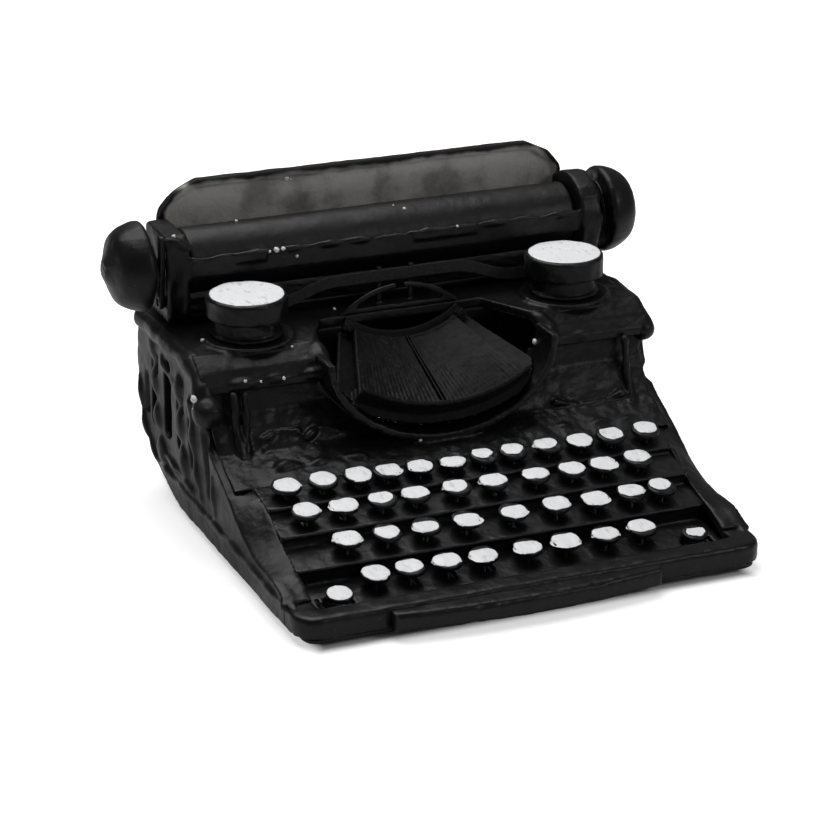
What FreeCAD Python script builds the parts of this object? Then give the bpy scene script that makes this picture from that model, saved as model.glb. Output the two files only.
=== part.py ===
import FreeCAD, Part
import math
import os

import Sketcher
from FreeCAD import Placement, Rotation, Vector

# Desk typewriter with four banks of keys and a front-striking fan of typebars.
# Frame: X to the operator's right, Y away from the operator, Z up, table at Z = 0.
# Lengths in millimetres, angles in degrees.

DOC = FreeCAD.newDocument("Typewriter")
DIMS = DOC.addObject("Spreadsheet::Sheet", "Dims")

SIZES = [
    # outer body
    ("key_side_room", 5.5, "room between the outermost key and the cheek"),
    ("side_wall", 6.0, "thickness of a side frame"),
    ("cheek_width", 15.0, "width of the sloping cheek beside the keys"),
    ("cheek_depth", 6.0, "metal under the sloping cheek"),
    ("cheek_back", -15.0, "where the cheek ends behind the top row"),
    ("cheek_tail_drop", 4.5, "cheek's rear end below the side frame's edge"),
    ("body_back", 129.0, "rear edge of the deck"),
    ("deck_top", 103.0, "top of the deck above the table"),
    ("deck_thickness", 5.0, "thickness of the deck plate"),
    ("deck_lip_y", 22.0, "front lip of the deck"),
    ("deck_lip_top", 90.0, "top of the deck's front lip"),
    ("deck_slope_back", 37.0, "where the deck's sloping front ends"),
    ("deck_brow_run", 5.0, "deck's brow behind its front lip"),
    ("deck_brow_rise", 6.5, "deck's brow above its front lip"),
    ("mouth_shoulder", 10.0, "full width of the basket's mouth behind the deck's lip"),
    ("mouth_rear_half_width", 48.2, "half width of the basket's mouth at its rear"),
    ("foot_height", 2.0, "rubber showing under the base"),
    ("foot_radius", 4.6, "radius of a rubber foot"),
    ("foot_front_inset", 20.0, "front feet behind the base flange's edge"),
    ("foot_back_inset", 12.0, "rear feet before the base flange's edge"),
    ("base_thickness", 3.0, "thickness of the base flange"),
    ("base_inset", 4.0, "base flange inside the side frames' outer faces"),
    ("base_flange", 10.5, "width of the base flange"),
    ("base_front", -119.0, "front edge of the base flange"),
    ("base_back", 64.0, "rear edge of the base flange"),
    ("base_corner", 8.0, "corner radius of the base flange"),
    ("rail_front", -120.0, "front face of the front rail"),
    ("rail_depth", 13.0, "front rail from front to back"),
    ("rail_top", 16.5, "top of the front rail"),
    ("rail_corner_back", -98.0, "where the rail's corner blocks meet the side frames"),
    ("rail_corner", 13.0, "corner radius of the front rail in plan"),
    ("rail_round", 3.0, "rounding of the front rail's upper edge"),
    # side frame windows
    ("window_bottom", 40.0, "lower end of a side frame's windows"),
    ("window_top", 86.0, "upper end of a side frame's windows"),
    ("window_width", 12.0, "width of a side frame's window"),
    ("window_first_y", 60.0, "front window's middle"),
    ("window_pitch", 21.0, "spacing of the windows"),
    ("side_boss_radius", 8.5, "radius of the boss on the left side frame"),
    ("side_boss_y", 17.0, "boss from front to back"),
    ("side_boss_z", 75.0, "height of the boss"),
    # rear panel
    ("rear_panel_bottom", 30.0, "lower edge of the rear panel"),
    ("rear_panel_thickness", 2.5, "thickness of the rear panel"),
    ("rear_panel_inset", 2.5, "rear panel inside the side frames' rear edge"),
    # keyboard
    ("key_radius", 8.0, "radius of a key top"),
    ("key_cap_height", 2.8, "thickness of a key top"),
    ("key_tilt", 10.0, "slope of a key top towards the operator"),
    ("key_travel", 5.0, "travel of the front row of keys"),
    ("key_gap", 0.6, "room left under a pressed key top"),
    ("row_y_1", -27.0, "top row, front to back"),
    ("row_y_2", -46.0, "second row, front to back"),
    ("row_y_3", -65.5, "third row, front to back"),
    ("row_y_4", -85.5, "front row, front to back"),
    ("row_top_1", 50.5, "top of the top row"),
    ("row_top_2", 43.2, "top of the second row"),
    ("row_top_3", 33.0, "top of the third row"),
    ("row_top_4", 20.7, "top of the front row"),
    ("row_offset_1", 0.0, "middle of the top row, left to right"),
    ("row_offset_2", -4.25, "middle of the second row, left to right"),
    ("row_offset_3", 4.3, "middle of the third row, left to right"),
    ("row_offset_4", -1.95, "middle of the front row, left to right"),
    ("row_pitch_1", 19.0, "key spacing in the top row"),
    ("row_pitch_2", 21.5, "key spacing in the second row"),
    ("row_pitch_3", 22.5, "key spacing in the third row"),
    ("row_pitch_4", 21.7, "key spacing in the front row"),
    ("tray_front", -100.0, "front edge of the keyboard tray"),
    ("tray_thickness", 1.8, "thickness of the keyboard tray"),
    ("tray_gap", 0.2, "play between the tray and the cheeks"),
    ("stem_width", 3.0, "key stem from front to back"),
    ("stem_play_x", 1.0, "room beside a stem in the tray"),
    ("stem_play_y", 1.5, "room before and behind a stem in the tray"),
    # key levers
    ("shaft_y", 92.0, "fulcrum shaft, front to back"),
    ("shaft_z", 21.0, "height of the fulcrum shaft"),
    ("shaft_radius", 2.5, "radius of the fulcrum shaft"),
    ("running_fit", 0.05, "radial clearance of a turning fit"),
    ("lever_thickness", 1.4, "thickness of a key lever"),
    ("lever_height", 3.5, "height of a key lever"),
    ("lever_eye_radius", 4.5, "radius of a key lever's eye"),
    ("lever_tail", 6.0, "lever behind the fulcrum shaft"),
    ("lever_front_y", -94.0, "reach of the longest levers"),
    ("lever_front_z", 8.5, "height of the levers' middle at that reach"),
    ("levers_per_front_key", 4.0, "levers in the width of one front-row key"),
    ("jog_height", 2.0, "height of a lever's sidestep"),
    ("clearance", 0.5, "room between pieces that pass each other"),
    ("comb_y", 70.0, "guide comb, front to back"),
    ("comb_thickness", 2.0, "thickness of the guide comb"),
    ("comb_bottom", 11.0, "lower edge of the guide comb"),
    ("comb_top", 25.0, "upper edge of the guide comb"),
    ("comb_play", 0.4, "room beside a lever in the comb"),
    ("spring_rail_y", 108.0, "front of the return springs' rail"),
    ("spring_rail_depth", 5.0, "rail of the return springs, front to back"),
    ("spring_thickness", 0.8, "thickness of a return spring's leaf"),
    ("spring_width", 2.0, "width of a return spring's leaf"),
    # shift keys and space bar
    ("shift_y", -94.0, "shift keys, front to back"),
    ("shift_top", 16.5, "top of the shift keys"),
    ("shift_radius", 7.2, "radius of a shift key"),
    ("shift_left_room", 17.0, "left shift key's middle from the cheek"),
    ("shift_right_room", 14.4, "right shift key's middle from the cheek"),
    ("lever_side_room", 3.0, "least room between the levers and a side frame"),
    ("bail_y", 101.5, "shift bail, front to back"),
    ("bail_size", 3.0, "section of the shift bail"),
    ("space_front", -133.0, "front of the space bar at its middle"),
    ("space_left", -84.0, "left end of the space bar"),
    ("space_right", 68.0, "right end of the space bar"),
    ("space_bow", 6.0, "how far the space bar bows forwards"),
    ("space_bottom", 4.5, "underside of the space bar"),
    ("space_top", 15.5, "top of the space bar"),
    ("space_gap", 0.8, "room between the space bar and the rail"),
    ("space_travel", 3.0, "travel of the space bar"),
    ("space_round", 3.0, "rounding of the space bar's edges"),
    ("space_cross_front", -105.0, "front of the space bar's cross piece"),
    ("space_cross_depth", 3.0, "cross piece, front to back"),
    ("prong_spread", 43.0, "half the spacing of the space bar's prongs"),
    ("prong_width", 4.0, "width of a prong"),
    ("prong_bottom", 8.8, "underside of a prong"),
    ("prong_top", 11.8, "top of a prong"),
    # basket and type
    ("basket_half_width", 67.0, "outer half width of the basket rim"),
    ("basket_drop", 49.5, "depth of the basket rim below its ends"),
    ("basket_wall", 4.0, "wall of the basket rim"),
    ("basket_end_z", 100.0, "height of the basket rim's ends"),
    ("basket_front_low", -2.0, "front of the basket rim at its lowest point"),
    ("basket_front_high", 5.0, "front of the basket rim at its ends"),
    ("panel_thickness", 2.5, "thickness of the front panel"),
    ("panel_foot_drop", 2.0, "panel's foot below the cheeks' line"),
    ("panel_step_front", 6.0, "panel's lower bend before the side frames' sixth point"),
    ("panel_step_drop", 4.0, "panel's lower bend below that point"),
    ("panel_brow_run", 2.0, "panel's upper bend behind the deck's lip"),
    ("panel_brow_rise", 2.0, "panel's upper bend above the side frames' seventh point"),
    ("panel_top_run", 4.0, "panel's upper edge behind the deck's lip"),
    ("basket_reach", 15.0, "basket rim behind the deck's lip"),
    ("strike_y", 79.0, "typebar's end at the strike, front to back"),
    ("strike_z", 146.0, "height of the typebar's end at the strike"),
    ("pivot_y", 58.0, "centre typebar's pivot, front to back"),
    ("pivot_z", 88.0, "height of the centre typebar's pivot"),
    ("rest_drop", 20.2, "typebars' slope at rest, degrees below level"),
    ("fan_half_angle", 29.5, "half the spread of the typebars, degrees"),
    ("typebar_count", 39.0, "number of typebars"),
    ("typebar_thickness", 0.9, "thickness of a typebar"),
    ("typebar_height", 3.0, "height of a typebar's section"),
    ("typebar_hub", 2.2, "radius of a typebar's hub"),
    ("pivot_wire", 0.8, "radius of the wire that the typebars turn on"),
    ("slug_width", 2.0, "width of a type slug"),
    ("slug_depth", 2.6, "depth of a type slug"),
    ("slug_gap", 0.5, "air between the type and the platen at the strike"),
    ("segment_inner", 56.0, "inner radius of the segment about the print point"),
    ("segment_gap", 0.7, "segment behind the typebars"),
    ("segment_depth", 4.8, "depth of the segment"),
    ("segment_half_angle", 36.0, "half the spread of the segment, degrees"),
    ("pan_thickness", 2.5, "thickness of the segment's pan"),
    ("pan_offset", 3.0, "pan's face below the typebars"),
    ("pan_reach", 44.0, "pan's reach towards the front"),
    ("lug_inner", 28.0, "inner end of a segment lug"),
    ("lug_outer", 54.0, "outer end of a segment lug"),
    ("lug_front", 3.3, "segment lug before the type guide's face"),
    ("lug_back", 1.7, "segment lug behind the type guide's face"),
    ("lug_height", 7.0, "height of a segment lug"),
    ("ear_half_height", 2.0, "half height of the ears that hold the pivot wire"),
    ("ear_front", 1.5, "ears before the pivot wire"),
    ("ear_room", 2.0, "degrees between the outer typebar and its ear"),
    ("felt_length", 7.0, "width of the felt that the typebars rest on"),
    ("felt_gap", 0.3, "air between the typebars and the felt"),
    # ribbon
    ("spool_side_room", 2.3, "room between a spool's boss and the basket's mouth"),
    ("spool_y", 56.0, "ribbon spool, front to back"),
    ("spool_radius", 22.3, "radius of a spool's cap"),
    ("spool_cap_height", 12.0, "height of a spool's cap"),
    ("spool_cap_round", 1.5, "rounding of a spool's cap"),
    ("spool_top", 128.0, "top of a spool's cap"),
    ("spool_pack_radius", 17.7, "radius of the wound ribbon"),
    ("spool_flange_radius", 20.0, "radius of a spool's lower flange"),
    ("spool_flange", 2.0, "thickness of a spool's lower flange"),
    ("spool_stud", 3.0, "radius of the stud that a spool turns on"),
    ("cup_radius", 25.5, "radius of the boss under a spool"),
    ("cup_height", 2.0, "height of the boss under a spool"),
    ("ribbon_height", 7.0, "width of the ribbon"),
    ("ribbon_thickness", 0.6, "thickness of the ribbon"),
    ("ribbon_rise", 9.0, "how far the ribbon rises in the middle"),
    ("guide_y", 67.3, "type guide, front to back"),
    ("guide_thickness", 2.0, "thickness of the type guide"),
    ("guide_half_width", 36.0, "half width of the type guide"),
    ("guide_height", 15.0, "height of the type guide"),
    ("guide_slot", 2.5, "half width of the type guide's slot"),
    ("guide_slot_bottom", 2.5, "foot of the type guide's slot above the deck"),
    ("guide_room", 0.3, "room between the type guide and the basket's mouth"),
    ("guide_leg", 9.0, "width of the type guide's legs"),
    ("guide_band", 3.0, "width of the type guide's arch"),
    ("guide_post_inner", 8.0, "ribbon post from the middle"),
    ("guide_post_width", 3.0, "width of a ribbon post"),
    ("guide_post_depth", 2.5, "ribbon post, front to back"),
    ("guide_post_height", 23.0, "height of a ribbon post"),
    ("guide_foot_half_width", 12.0, "half width of the type guide's foot"),
    ("guide_foot_height", 2.0, "height of the type guide's foot"),
    # carriage
    ("platen_y", 103.5, "platen's axis, front to back"),
    ("platen_z", 134.0, "height of the platen's axis"),
    ("platen_radius", 18.5, "radius of the platen"),
    ("platen_end_room", 2.0, "room between the platen's rubber and an end plate"),
    ("platen_shaft", 3.0, "radius of the platen's shaft"),
    ("end_plate_inner", 118.0, "inner face of a carriage end plate"),
    ("end_plate", 12.0, "thickness of a carriage end plate"),
    ("end_plate_front", 86.0, "front edge of a carriage end plate"),
    ("end_plate_top", 154.0, "top of a carriage end plate"),
    ("end_plate_corner", 2.0, "end plate's lowered rear corner"),
    ("end_plate_bearing", 15.0, "end plate's width about the platen's shaft, each way"),
    ("end_plate_bulge", 3.0, "end plate's bulge in front"),
    ("end_plate_head", 24.5, "radius of the right end plate's round head"),
    ("carriage_rail_height", 2.0, "height of a carriage rail"),
    ("carriage_rail_width", 4.0, "width of a carriage rail"),
    ("carriage_rail_inset", 4.0, "rails inside the carriage bed's edges"),
    ("slide_gap", 0.3, "air between the carriage and its rails"),
    ("bed_thickness", 3.0, "thickness of the carriage bed"),
    ("carriage_back", 122.4, "rear face of the carriage frame"),
    ("scale_front", 82.0, "front face of the scale plate"),
    ("scale_thickness", 2.0, "thickness of the scale plate"),
    ("scale_bottom", 128.8, "lower edge of the scale plate"),
    ("scale_top", 141.5, "upper edge of the scale plate"),
    ("tab_rise", 1.0, "scale plate's tabs above its upper edge"),
    ("tab_depth", 5.0, "scale plate's tabs below its upper edge"),
    ("tab_proud", 1.5, "scale plate's tabs in front of its face"),
    ("left_tab_middle", -83.0, "middle of the left tab"),
    ("left_tab_width", 18.0, "width of the left tab"),
    ("right_tab_middle", 33.0, "middle of the right tab"),
    ("right_tab_width", 38.0, "width of the right tab"),
    ("knob_gap", 5.0, "room between an end plate and a platen knob"),
    ("knob_length", 26.0, "length of a platen knob"),
    ("knob_radius", 25.0, "radius of a platen knob"),
    ("knob_hub", 12.0, "radius of a knob's hub"),
    ("knob_hub_length", 2.5, "length of a knob's hub"),
    ("knob_face", 12.0, "radius of a knob's flat end"),
    ("knob_slope", 6.0, "length of a knob's sloping end"),
    ("knob_round", 7.0, "rounding of a knob's rim"),
    ("table_bottom", 111.0, "lower edge of the paper table"),
    ("table_side_height", 49.5, "height of the paper table's upright ends"),
    ("table_corner_height", 13.5, "height of the paper table's sloping corners"),
    ("table_corner_width", 19.0, "width of the paper table's sloping corners"),
    ("table_lap", 5.0, "paper table's overlap on a carriage end plate"),
    ("table_thickness", 2.5, "thickness of the paper table"),
    ("table_rim", 3.0, "width of the paper table's raised rim"),
    ("table_rim_height", 2.0, "height of the paper table's raised rim"),
    ("line_lever_thickness", 3.0, "thickness of the line space lever"),
    ("line_lever_gap", 0.8, "room between the lever and its end plate"),
    ("line_lever_tip_y", 4.0, "lever's tip in front of its pin"),
    ("line_lever_tip_radius", 3.0, "rounding of the lever's tip"),
    ("line_lever_y", 92.0, "line space lever's pin, front to back"),
    ("line_lever_z", 116.0, "height of the line space lever's pin"),
    ("line_lever_reach", 36.0, "length of the line space lever"),
    ("line_lever_width", 8.0, "width of the line space lever"),
    ("line_pin_radius", 2.0, "radius of the line space lever's pin"),
    ("line_pin_set_back", 0.2, "pin's end inside the lever's outer face"),
]

# Keys in each row, from the top row down.
ROWS = {1: 12, 2: 10, 3: 9, 4: 8}
# Keys set off their even places by hand, numbered row by row from the top left: millimetres
# to the right.
KEY_NUDGES = {2: 1.6, 3: 2.4, 8: -1.8, 12: 2.6, 16: -2.2, 19: 3.2, 20: 3.2, 27: 4.6, 28: 7.6, 29: 7.8,
              30: 7.4, 31: 3.4, 33: -2.6, 34: -3.2, 35: -4.0, 38: 2.0, 39: 2.0}
# Comb slots from the front row's first key to the space bar's left lever.
SLOTS_LEFT_OF_FRONT_ROW = 7
# Far outside the machine, for cutting tools that pass right through it.
FAR = 400

# Upper edge of a side frame, from the front corner to the deck, and its rear edge from the
# deck down to the base: each point is (front to back, height).
SIDE_UPPER_EDGE = [(-98, 18), (-84, 23), (-56, 24), (-32, 32), (-7, 47), (16, 59), (26, 71), (29, 84)]
SIDE_REAR_EDGE = [(133, 77), (128, 45), (114, 26), (88, 12)]
# Inner edge of the sloping cheek, which rises beside the keys.
CHEEK_INNER_RISE = [0.0, 0.0, 7.5, 10.5, 2.0]


def linked_sizes():
    """Sizes that follow from the driving ones: (name, formula, what it is)."""
    linked = []
    reaches = []
    for row, count in ROWS.items():
        half_row = f"{(count - 1) / 2} * row_pitch_{row}"
        linked.append((f"row_first_x_{row}", f"row_offset_{row} - {half_row}", "row's leftmost key"))
        reaches.append(f"abs(row_offset_{row}) + {half_row}")
    beside_keys = f"max({'; '.join(reaches)}) + key_radius + key_side_room + cheek_width"
    outer_lever = f"{SLOTS_LEFT_OF_FRONT_ROW} * row_pitch_4 / levers_per_front_key + lever_thickness / 2"
    beside_levers = f"{reaches[-1]} + {outer_lever} + lever_side_room + side_wall"
    plate_outside = "end_plate_inner + end_plate"
    return linked + [
        ("body_half_width", f"max({beside_keys}; {beside_levers})", "middle to a side frame's outer face"),
        ("base_half_width", "body_half_width - base_inset", "half width of the base flange"),
        ("shift_left_x", "shift_left_room + cheek_width - body_half_width", "left shift key"),
        ("shift_right_x", "body_half_width - cheek_width - shift_right_room", "right shift key"),
        ("platen_half_length", "end_plate_inner - platen_end_room", "half length of the platen's rubber"),
        ("knob_start", f"{plate_outside} + knob_gap", "where a platen knob starts"),
        ("knob_end", "knob_start + knob_length", "outer end of a platen knob"),
        ("table_half_width", "end_plate_inner + table_lap", "half width of the paper table"),
        ("table_top_half_width", "table_half_width - table_corner_width", "half width of its upper edge"),
        ("table_shoulder", "table_bottom + table_side_height", "where its corners start to slope"),
        ("table_top", "table_shoulder + table_corner_height", "upper edge of the paper table"),
        ("spool_x", "basket_half_width + tray_gap + cup_radius + spool_side_room", "ribbon spool's middle"),
    ]


def fill_sheet():
    """Write every size into the sheet, one row each."""
    rows = list(SIZES)
    for index, (y, z) in enumerate(SIDE_UPPER_EDGE, 1):
        rows.append((f"upper_edge_y_{index}", y, "side frame's upper edge, front to back"))
        rows.append((f"upper_edge_z_{index}", z, "side frame's upper edge, height"))
    for index, (y, z) in enumerate(SIDE_REAR_EDGE, 1):
        rows.append((f"rear_edge_y_{index}", y, "side frame's rear edge, front to back"))
        rows.append((f"rear_edge_z_{index}", z, "side frame's rear edge, height"))
    for index, rise in enumerate(CHEEK_INNER_RISE, 1):
        rows.append((f"cheek_rise_{index}", rise, "cheek's inner edge above its outer edge"))
    for number, nudge in KEY_NUDGES.items():
        rows.append((f"nudge_{number}", nudge, "a key off its even place, to the right"))
    for row, (alias, value, note) in enumerate(rows, 1):
        DIMS.set(f"A{row}", str(float(value)))
        DIMS.setAlias(f"A{row}", alias)
        DIMS.set(f"B{row}", note)
    DOC.recompute()
    for row, (alias, formula, note) in enumerate(linked_sizes(), len(rows) + 1):
        DIMS.set(f"A{row}", f"={formula}")
        DIMS.setAlias(f"A{row}", alias)
        DIMS.set(f"B{row}", note)
        DOC.recompute()


def size(alias):
    """One size as a number."""
    return float(DIMS.get(alias))


fill_sheet()

NODES = []


def node(item, label):
    """Give a finished sub-part its name and list it."""
    item.Label = label
    NODES.append(item)
    return item


def bind(item, **expressions):
    """Tie an object's sizes and place to the sheet."""
    places = {"x": "Placement.Base.x", "y": "Placement.Base.y", "z": "Placement.Base.z"}
    for name, expression in expressions.items():
        item.setExpression(places.get(name, name), expression)
    return item


def box(name, low, high):
    """A box between two corners given as expressions."""
    item = DOC.addObject("Part::Box", name)
    spans = [f"({end}) - ({start})" for start, end in zip(low, high)]
    bind(item, Length=spans[0], Width=spans[1], Height=spans[2])
    return bind(item, x=low[0], y=low[1], z=low[2])


def cylinder(name, radius, length, start, axis="Z"):
    """A cylinder from its start point along an axis."""
    item = DOC.addObject("Part::Cylinder", name)
    turns = {"X": Rotation(Vector(0, 1, 0), 90), "Y": Rotation(Vector(1, 0, 0), -90), "Z": Rotation()}
    item.Placement = Placement(Vector(), turns[axis])
    bind(item, Radius=radius, Height=length)
    return bind(item, x=start[0], y=start[1], z=start[2])


def cut(name, base, tools):
    """A piece with others taken out of it."""
    for index, tool in enumerate(tools):
        item = DOC.addObject("Part::Cut", f"{name}_{index}")
        item.Base = base
        item.Tool = tool
        base = item
    return base


def join(name, pieces):
    """Pieces made into one solid."""
    item = DOC.addObject("Part::MultiFuse", name)
    item.Shapes = pieces
    return item


def group(name, pieces):
    """Separate solids kept in one node."""
    item = DOC.addObject("Part::Compound", name)
    item.Links = pieces
    return item


def plane_of(body, role):
    """One of a body's own origin planes."""
    return next(item for item in body.Origin.OriginFeatures if item.Role == role)


def outline(body, name, role, corners):
    """A closed outline of straight lines whose corners are tied to expressions."""
    sketch = body.newObject("Sketcher::SketchObject", name)
    sketch.AttachmentSupport = (plane_of(body, role), [""])
    sketch.MapMode = "FlatFace"
    count = len(corners)
    rough = []
    for index in range(count):
        angle = 2 * math.pi * index / count
        rough.append(Vector(50 * math.cos(angle), 50 * math.sin(angle), 0))
    for index in range(count):
        line = Part.LineSegment(rough[index], rough[(index + 1) % count])
        sketch.addGeometry(line)
    for index in range(count):
        sketch.addConstraint(Sketcher.Constraint("Coincident", index, 2, (index + 1) % count, 1))
    for index, (across, up) in enumerate(corners):
        for kind, value, expression in (
            ("DistanceX", rough[index].x, across),
            ("DistanceY", rough[index].y, up),
        ):
            number = sketch.addConstraint(Sketcher.Constraint(kind, -1, 1, index, 1, value))
            sketch.setExpression(f"Constraints[{number}]", expression)
    return sketch


def pad(body, sketch, length):
    """Thicken an outline evenly to both sides of its plane."""
    item = body.newObject("PartDesign::Pad", f"{sketch.Name}Pad")
    item.Profile = sketch
    item.SideType = "Symmetric"
    item.setExpression("Length", length)
    body.Tip = item
    return item


def pocket_through(body, sketch):
    """Cut an outline right through the body."""
    item = body.newObject("PartDesign::Pocket", f"{sketch.Name}Pocket")
    item.Profile = sketch
    item.SideType = "Symmetric"
    item.Type = "ThroughAll"
    body.Tip = item
    return item


def round_edges(body, choose, radius):
    """Round the edges of the body's tip that a test picks out."""
    DOC.recompute()
    tip = body.Tip
    names = [f"Edge{number}" for number, edge in enumerate(tip.Shape.Edges, 1) if choose(edge)]
    item = body.newObject("PartDesign::Fillet", f"{tip.Name}Round")
    item.Base = (tip, names)
    item.setExpression("Radius", radius)
    body.Tip = item
    return item


def stands_upright(edge):
    """Whether a straight edge runs along Z."""
    start, end = edge.Vertexes[0].Point, edge.Vertexes[-1].Point
    return abs(start.x - end.x) + abs(start.y - end.y) < 0.001


def feature(label, shape):
    """A sub-part whose shape is worked out from the sheet's sizes."""
    item = DOC.addObject("Part::Feature", label)
    item.Shape = shape
    return node(item, label)


def prism(points, start, depth):
    """A straight prism over a polygon."""
    wire = Part.makePolygon([Vector(*point) for point in points] + [Vector(*points[0])])
    return Part.Face(wire).extrude(depth).translated(start)


def along_x(points, low, high):
    """A prism over (front to back, height) points between two X values."""
    corners = [(low, y, z) for y, z in points]
    return prism(corners, Vector(), Vector(high - low, 0, 0))


def rod(radius, start, end):
    """A round rod between two points."""
    reach = end - start
    return Part.makeCylinder(radius, reach.Length, start, reach)


def block(low, high):
    """A plain box between two corners."""
    low, high = Vector(*low), Vector(*high)
    span = high - low
    return Part.makeBox(span.x, span.y, span.z, low)


# ---------------------------------------------------------------- frame and covers

FLOOR_OF_SIDES = "Dims.foot_height + Dims.base_thickness"
INNER_X = "(Dims.body_half_width - Dims.side_wall)"
CHEEK_X = "(Dims.body_half_width - Dims.cheek_width)"


def rectangle(low_x, low_y, high_x, high_y):
    """Corners of an upright rectangle, as expressions."""
    return [(low_x, low_y), (high_x, low_y), (high_x, high_y), (low_x, high_y)]


def make_base_frame():
    """The flanged ring that the whole machine stands on."""
    body = DOC.addObject("PartDesign::Body", "BaseFrame")
    half = "Dims.base_half_width"
    outer = outline(body, "BaseOuter", "XY_Plane", rectangle(
        f"-{half}", "Dims.base_front", half, "Dims.base_back"))
    pad(body, outer, "Dims.base_thickness")
    round_edges(body, stands_upright, "Dims.base_corner")
    inner_x = f"({half} - Dims.base_flange)"
    inner = outline(body, "BaseInner", "XY_Plane", rectangle(
        f"-{inner_x}", "Dims.base_front + Dims.base_flange", inner_x,
        "Dims.base_back - Dims.base_flange"))
    pocket_through(body, inner)
    bind(body, z="Dims.foot_height + Dims.base_thickness / 2")
    node(body, "base_frame")


def make_feet():
    """Four rubber feet under the base flange."""
    feet = []
    across = "(Dims.base_half_width - Dims.base_flange / 2)"
    front = "Dims.base_front + Dims.foot_front_inset"
    back = "Dims.base_back - Dims.foot_back_inset"
    for number, (x, y) in enumerate([(f"-{across}", front), (across, front),
                                     (f"-{across}", back), (across, back)]):
        feet.append(cylinder(f"Foot{number}", "Dims.foot_radius", "Dims.foot_height", (x, y, "0")))
    node(group("Feet", feet), "rubber_feet")


def make_front_rail():
    """The rail across the front, with its rounded corner blocks."""
    body = DOC.addObject("PartDesign::Body", "FrontRail")
    half = "Dims.body_half_width"
    back = "(Dims.rail_front + Dims.rail_depth)"
    plan = outline(body, "RailPlan", "XY_Plane", [
        (f"-{half}", "Dims.rail_front"), (half, "Dims.rail_front"),
        (half, "Dims.rail_corner_back"), (CHEEK_X, "Dims.rail_corner_back"),
        (CHEEK_X, back), (f"-{CHEEK_X}", back),
        (f"-{CHEEK_X}", "Dims.rail_corner_back"), (f"-{half}", "Dims.rail_corner_back")])
    height = f"(Dims.rail_top - ({FLOOR_OF_SIDES}))"
    pad(body, plan, height)

    def front_corner(edge):
        return stands_upright(edge) and edge.Vertexes[0].Y < size("rail_front") + 1

    round_edges(body, front_corner, "Dims.rail_corner")

    def top_outside(edge):
        bounds = edge.BoundBox
        at_top = bounds.ZMin > body.Tip.Shape.BoundBox.ZMax - 0.01
        at_side = max(abs(bounds.XMin), abs(bounds.XMax)) > size("body_half_width") - 0.01
        at_front = bounds.YMin < size("rail_front") + 0.01
        lengthwise = bounds.XLength < 0.01 or bounds.YMax < size("rail_corner_back") - 0.01
        return at_top and lengthwise and (at_side or at_front)

    round_edges(body, top_outside, "Dims.rail_round")
    bind(body, z=f"{FLOOR_OF_SIDES} + {height} / 2")
    tunnels = []
    for number, side in enumerate(("-", "")):
        middle = f"({prong_middle(side)})"
        width = "(Dims.prong_width / 2 + Dims.clearance)"
        tunnels.append(box(f"ProngTunnel{number}", (
            f"{middle} - {width}", "Dims.rail_front - 1", f"{FLOOR_OF_SIDES} - 1"), (
            f"{middle} + {width}", f"{back} + 1", "Dims.prong_top + Dims.clearance")))
    node(cut("FrontRailCut", body, tunnels), "front_rail")


def prong_middle(side):
    """Where a prong of the space bar runs, left or right of the bar's middle."""
    sign = "-" if side else "+"
    return f"(Dims.space_left + Dims.space_right) / 2 {sign} Dims.prong_spread"


def smooth_edge(points):
    """A smooth curve through points."""
    curve = Part.BSplineCurve()
    curve.interpolate([Vector(*point) for point in points])
    return curve.toShape()


def side_edges(prefix, count):
    """Named points of a side frame's edge."""
    return [(size(f"{prefix}_y_{index}"), size(f"{prefix}_z_{index}")) for index in range(1, count + 1)]


def side_face(x):
    """A side frame's outline at one X."""
    floor = size("foot_height") + size("base_thickness")
    under_deck = size("deck_top") - size("deck_thickness")
    upper = side_edges("upper_edge", len(SIDE_UPPER_EDGE))
    rear = side_edges("rear_edge", len(SIDE_REAR_EDGE))
    front_top = [(x, y, z) for y, z in upper]
    front_foot = (x, upper[0][0], floor)
    deck_front = (x, size("deck_slope_back"), under_deck)
    deck_back = (x, size("body_back"), under_deck)
    rear_line = [deck_back] + [(x, y, z) for y, z in rear] + [(x, size("base_back"), floor)]
    edges = [
        Part.makeLine(Vector(*front_foot), Vector(*front_top[0])),
        smooth_edge(front_top),
        Part.makeLine(Vector(*front_top[-1]), Vector(*deck_front)),
        Part.makeLine(Vector(*deck_front), Vector(*deck_back)),
        smooth_edge(rear_line),
        Part.makeLine(Vector(*rear_line[-1]), Vector(*front_foot)),
    ]
    return Part.Face(Part.Wire(edges))


def cheek_section(x, rise_share):
    """The sloping cheek's section at one X, from its outer edge (0) to its inner edge (1)."""
    points = side_edges("upper_edge", len(SIDE_UPPER_EDGE))[:len(CHEEK_INNER_RISE)]
    points[-1] = (size("cheek_back"), points[-1][1] - size("cheek_tail_drop"))
    top = []
    for index, (y, z) in enumerate(points, 1):
        top.append((x, y, z + rise_share * size(f"cheek_rise_{index}")))
    low = [(px, py, pz - size("cheek_depth")) for px, py, pz in top]
    edges = [
        smooth_edge(top),
        Part.makeLine(Vector(*top[-1]), Vector(*low[-1])),
        smooth_edge(low[::-1]),
        Part.makeLine(Vector(*low[0]), Vector(*top[0])),
    ]
    return Part.Wire(edges)


def window_cutter(middle, x, depth):
    """A round-ended upright slot through a side frame."""
    half = size("window_width") / 2
    low, high = size("window_bottom"), size("window_top")
    slot = block((x, middle - half, low + half), (x + depth, middle + half, high - half))
    for z in (low + half, high - half):
        slot = slot.fuse(rod(half, Vector(x, middle, z), Vector(x + depth, middle, z)))
    return slot


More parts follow.
